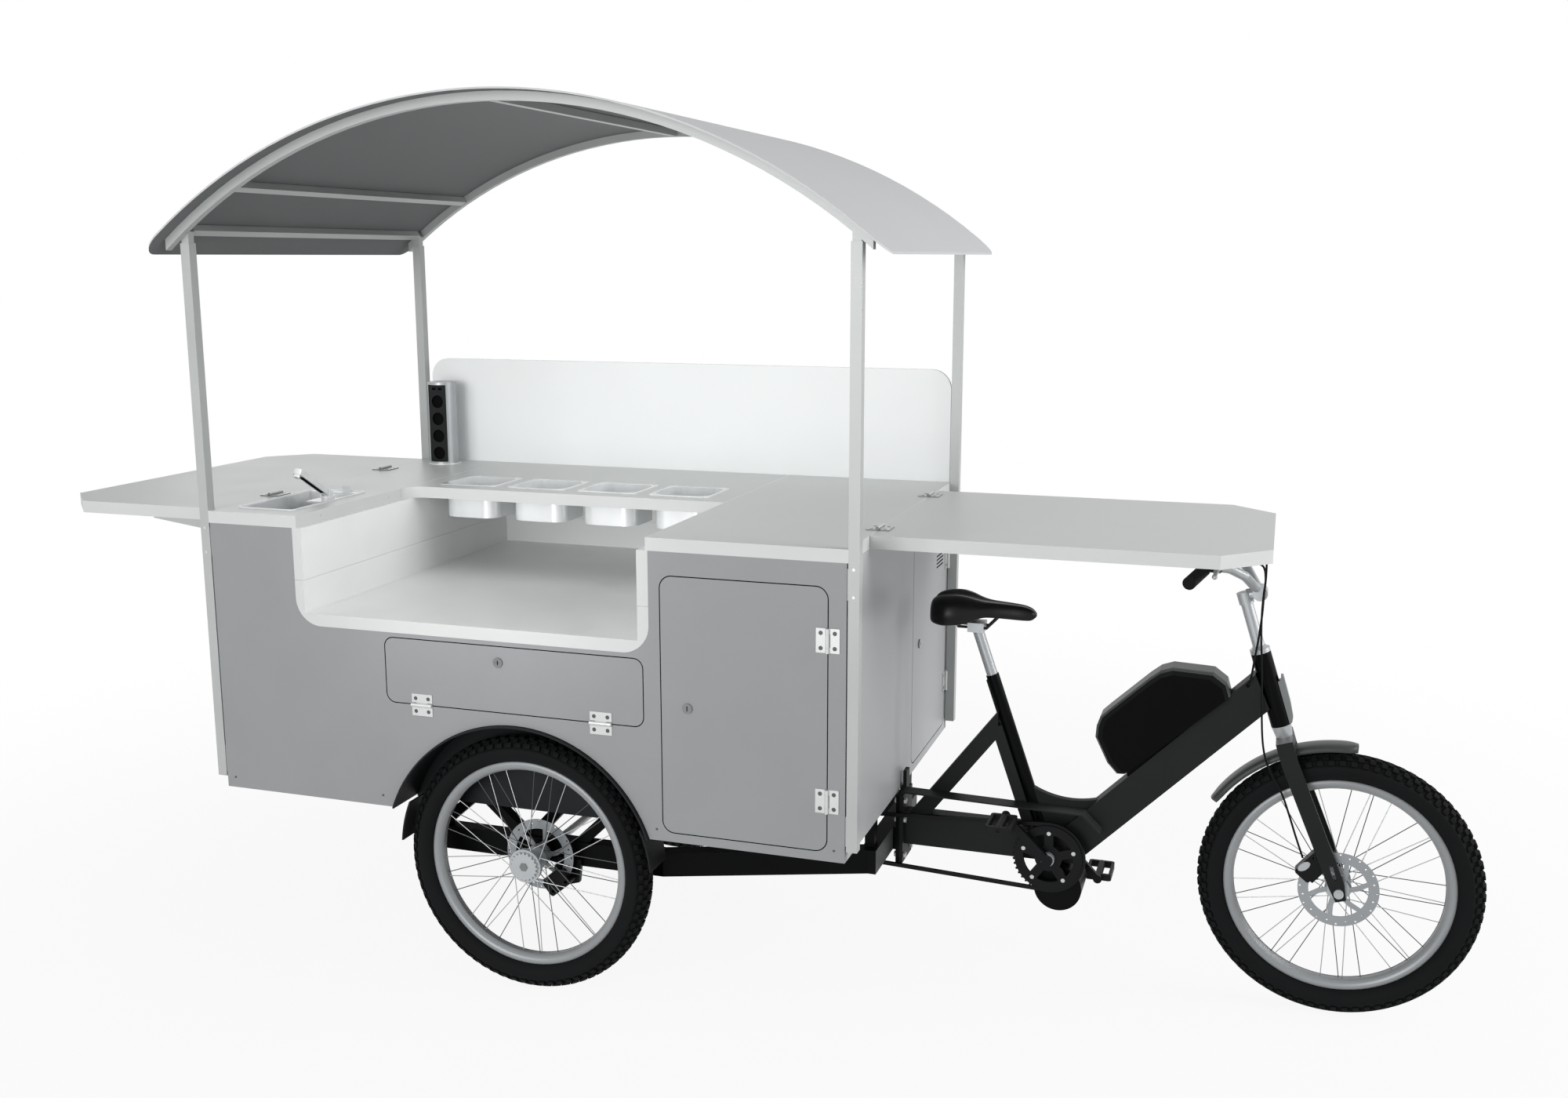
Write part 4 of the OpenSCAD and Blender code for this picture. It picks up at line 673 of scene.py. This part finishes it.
def strips(name, boxes, material, body):
    """Thin flat strips, each given by its lowest and highest corner in the source's millimetres."""
    points, faces = [], []
    for low, high in boxes:
        base = len(points)
        points += [at(x, y, z) for x in (low[0], high[0]) for y in (low[1], high[1]) for z in (low[2], high[2])]
        for f in ((0, 1, 3, 2), (4, 6, 7, 5), (0, 4, 5, 1), (2, 3, 7, 6), (0, 2, 6, 4), (1, 5, 7, 3)):
            faces.append(tuple(base + i for i in f))
    o = mesh_piece(name, points, faces, [material], smooth=False)
    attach(o, body)


# pale edge bands that show along the seams of the worktop
BAND_Z = 1152.25, 1152.5
strips("seam_bands", [
    ((248, -12, BAND_Z[0]), (249.3, 514, BAND_Z[1])),
    ((1164.1, -12, BAND_Z[0]), (1165.4, 514, BAND_Z[1])),
    ((251, 512, BAND_Z[0]), (1163, 513.3, BAND_Z[1])),
    ((1634.4, -352, BAND_Z[0]), (1635.7, -290, BAND_Z[1])),
    ((1634.4, -230, BAND_Z[0]), (1635.7, 230, BAND_Z[1])),
    ((1634.4, 290, BAND_Z[0]), (1635.7, 352, BAND_Z[1])),
], WHITE, "cart")

# floor: white where it is seen, with a faint shadow near the middle, and a pale floor to all other light
FLOOR = 30
NEAR_SHARE, SHADOW_FROM, SHADOW_TO = 0.91, 1.2, 4.0
STUDIO = finish("studio floor", (222, 222, 222), 0.9, change=0.01, scale=0.6, bump=0.0, spec=0.0)


def seen_rays(t):
    """1 for rays from the camera, or from metal and glass."""
    path = t.nodes.new("ShaderNodeLightPath")
    total = path.outputs["Is Camera Ray"]
    for key in ("Is Glossy Ray", "Is Transmission Ray"):
        most = t.nodes.new("ShaderNodeMath")
        most.operation = "MAXIMUM"
        t.links.new(total, most.inputs[0])
        t.links.new(path.outputs[key], most.inputs[1])
        total = most.outputs["Value"]
    return total


def floor_white():
    """Mixes the floor with plain white for the rays that see it: all of it far off, NEAR_SHARE of it in the middle."""
    t = STUDIO.node_tree
    place = t.nodes.new("ShaderNodeTexCoord")
    far = t.nodes.new("ShaderNodeVectorMath")
    far.operation = "LENGTH"
    t.links.new(place.outputs["Object"], far.inputs[0])
    share = t.nodes.new("ShaderNodeMapRange")
    share.interpolation_type = "SMOOTHSTEP"
    share.inputs["From Min"].default_value = SHADOW_FROM
    share.inputs["From Max"].default_value = SHADOW_TO
    share.inputs["To Min"].default_value = NEAR_SHARE
    share.inputs["To Max"].default_value = 1.0
    t.links.new(far.outputs["Value"], share.inputs["Value"])
    part = t.nodes.new("ShaderNodeMath")
    part.operation = "MULTIPLY"
    t.links.new(share.outputs["Result"], part.inputs[0])
    t.links.new(seen_rays(t), part.inputs[1])
    glow = t.nodes.new("ShaderNodeEmission")
    glow.inputs["Color"].default_value = (1, 1, 1, 1)
    glow.inputs["Strength"].default_value = 1.0
    mix = t.nodes.new("ShaderNodeMixShader")
    t.links.new(part.outputs["Value"], mix.inputs[0])
    t.links.new(t.nodes["Principled BSDF"].outputs["BSDF"], mix.inputs[1])
    t.links.new(glow.outputs["Emission"], mix.inputs[2])
    t.links.new(mix.outputs["Shader"], t.nodes["Material Output"].inputs["Surface"])


floor_white()
corners = [(-FLOOR, -FLOOR, 0), (FLOOR, -FLOOR, 0), (FLOOR, FLOOR, 0), (-FLOOR, FLOOR, 0)]
floor = mesh_piece("floor", corners, [(0, 1, 2, 3)], [STUDIO], smooth=False)

# world: white where it is seen, dimmer as light
WORLD_LIGHT = 0.3
world = bpy.data.worlds.new("studio")
bpy.context.scene.world = world
world.use_nodes = True
sky = world.node_tree
level = sky.nodes.new("ShaderNodeMapRange")
level.inputs["To Min"].default_value = WORLD_LIGHT
level.inputs["To Max"].default_value = 1.0
sky.links.new(seen_rays(sky), level.inputs["Value"])
sky.nodes["Background"].inputs["Color"].default_value = (1, 1, 1, 1)
sky.links.new(level.outputs["Result"], sky.nodes["Background"].inputs["Strength"])


def lamp(name, where, aim, size, watts):
    """A square soft lamp."""
    data = bpy.data.lights.new(name, "AREA")
    data.shape = "SQUARE"
    data.size = size
    data.energy = watts
    o = bpy.data.objects.new(name, data)
    o.location = where
    o.rotation_euler = (Vector(aim) - Vector(where)).to_track_quat("-Z", "Y").to_euler()
    bpy.context.scene.collection.objects.link(o)


lamp("main", (-2.0, -7.0, 3.0), (0, 0, 1.0), 4.0, 180)
lamp("low", (-0.6, -7.0, 1.3), (-0.5, 0, 1.0), 2.4, 108)
lamp("side", (6.2, 0.2, 3.2), (0.3, 0, 0.8), 3.5, 240)
lamp("back", (-5.5, 6.5, 2.4), (-0.9, 0, 1.1), 3.0, 22)
lamp("well", (-0.5, -0.72, 1.12), (-0.5, 0.2, 1.0), 0.6, 0.5)
lamp("canopy", (-0.55, -0.25, 1.88), (-0.55, -0.25, 0.9), 1.0, 1.8)

# camera, as fitted to the photograph: it looks DOWN degrees down and is turned by TURN
DOWN, TURN = 10.85, 18.13
camera = bpy.data.objects.new("camera", bpy.data.cameras.new("camera"))
camera.data.lens = 35.016
camera.data.sensor_width = 36
camera.location = at(2501, -3612.5, 1767.2)
camera.rotation_euler = (math.radians(90 - DOWN), 0, math.radians(TURN))
bpy.context.scene.collection.objects.link(camera)
bpy.context.scene.camera = camera
bpy.context.scene.view_settings.view_transform = "Standard"
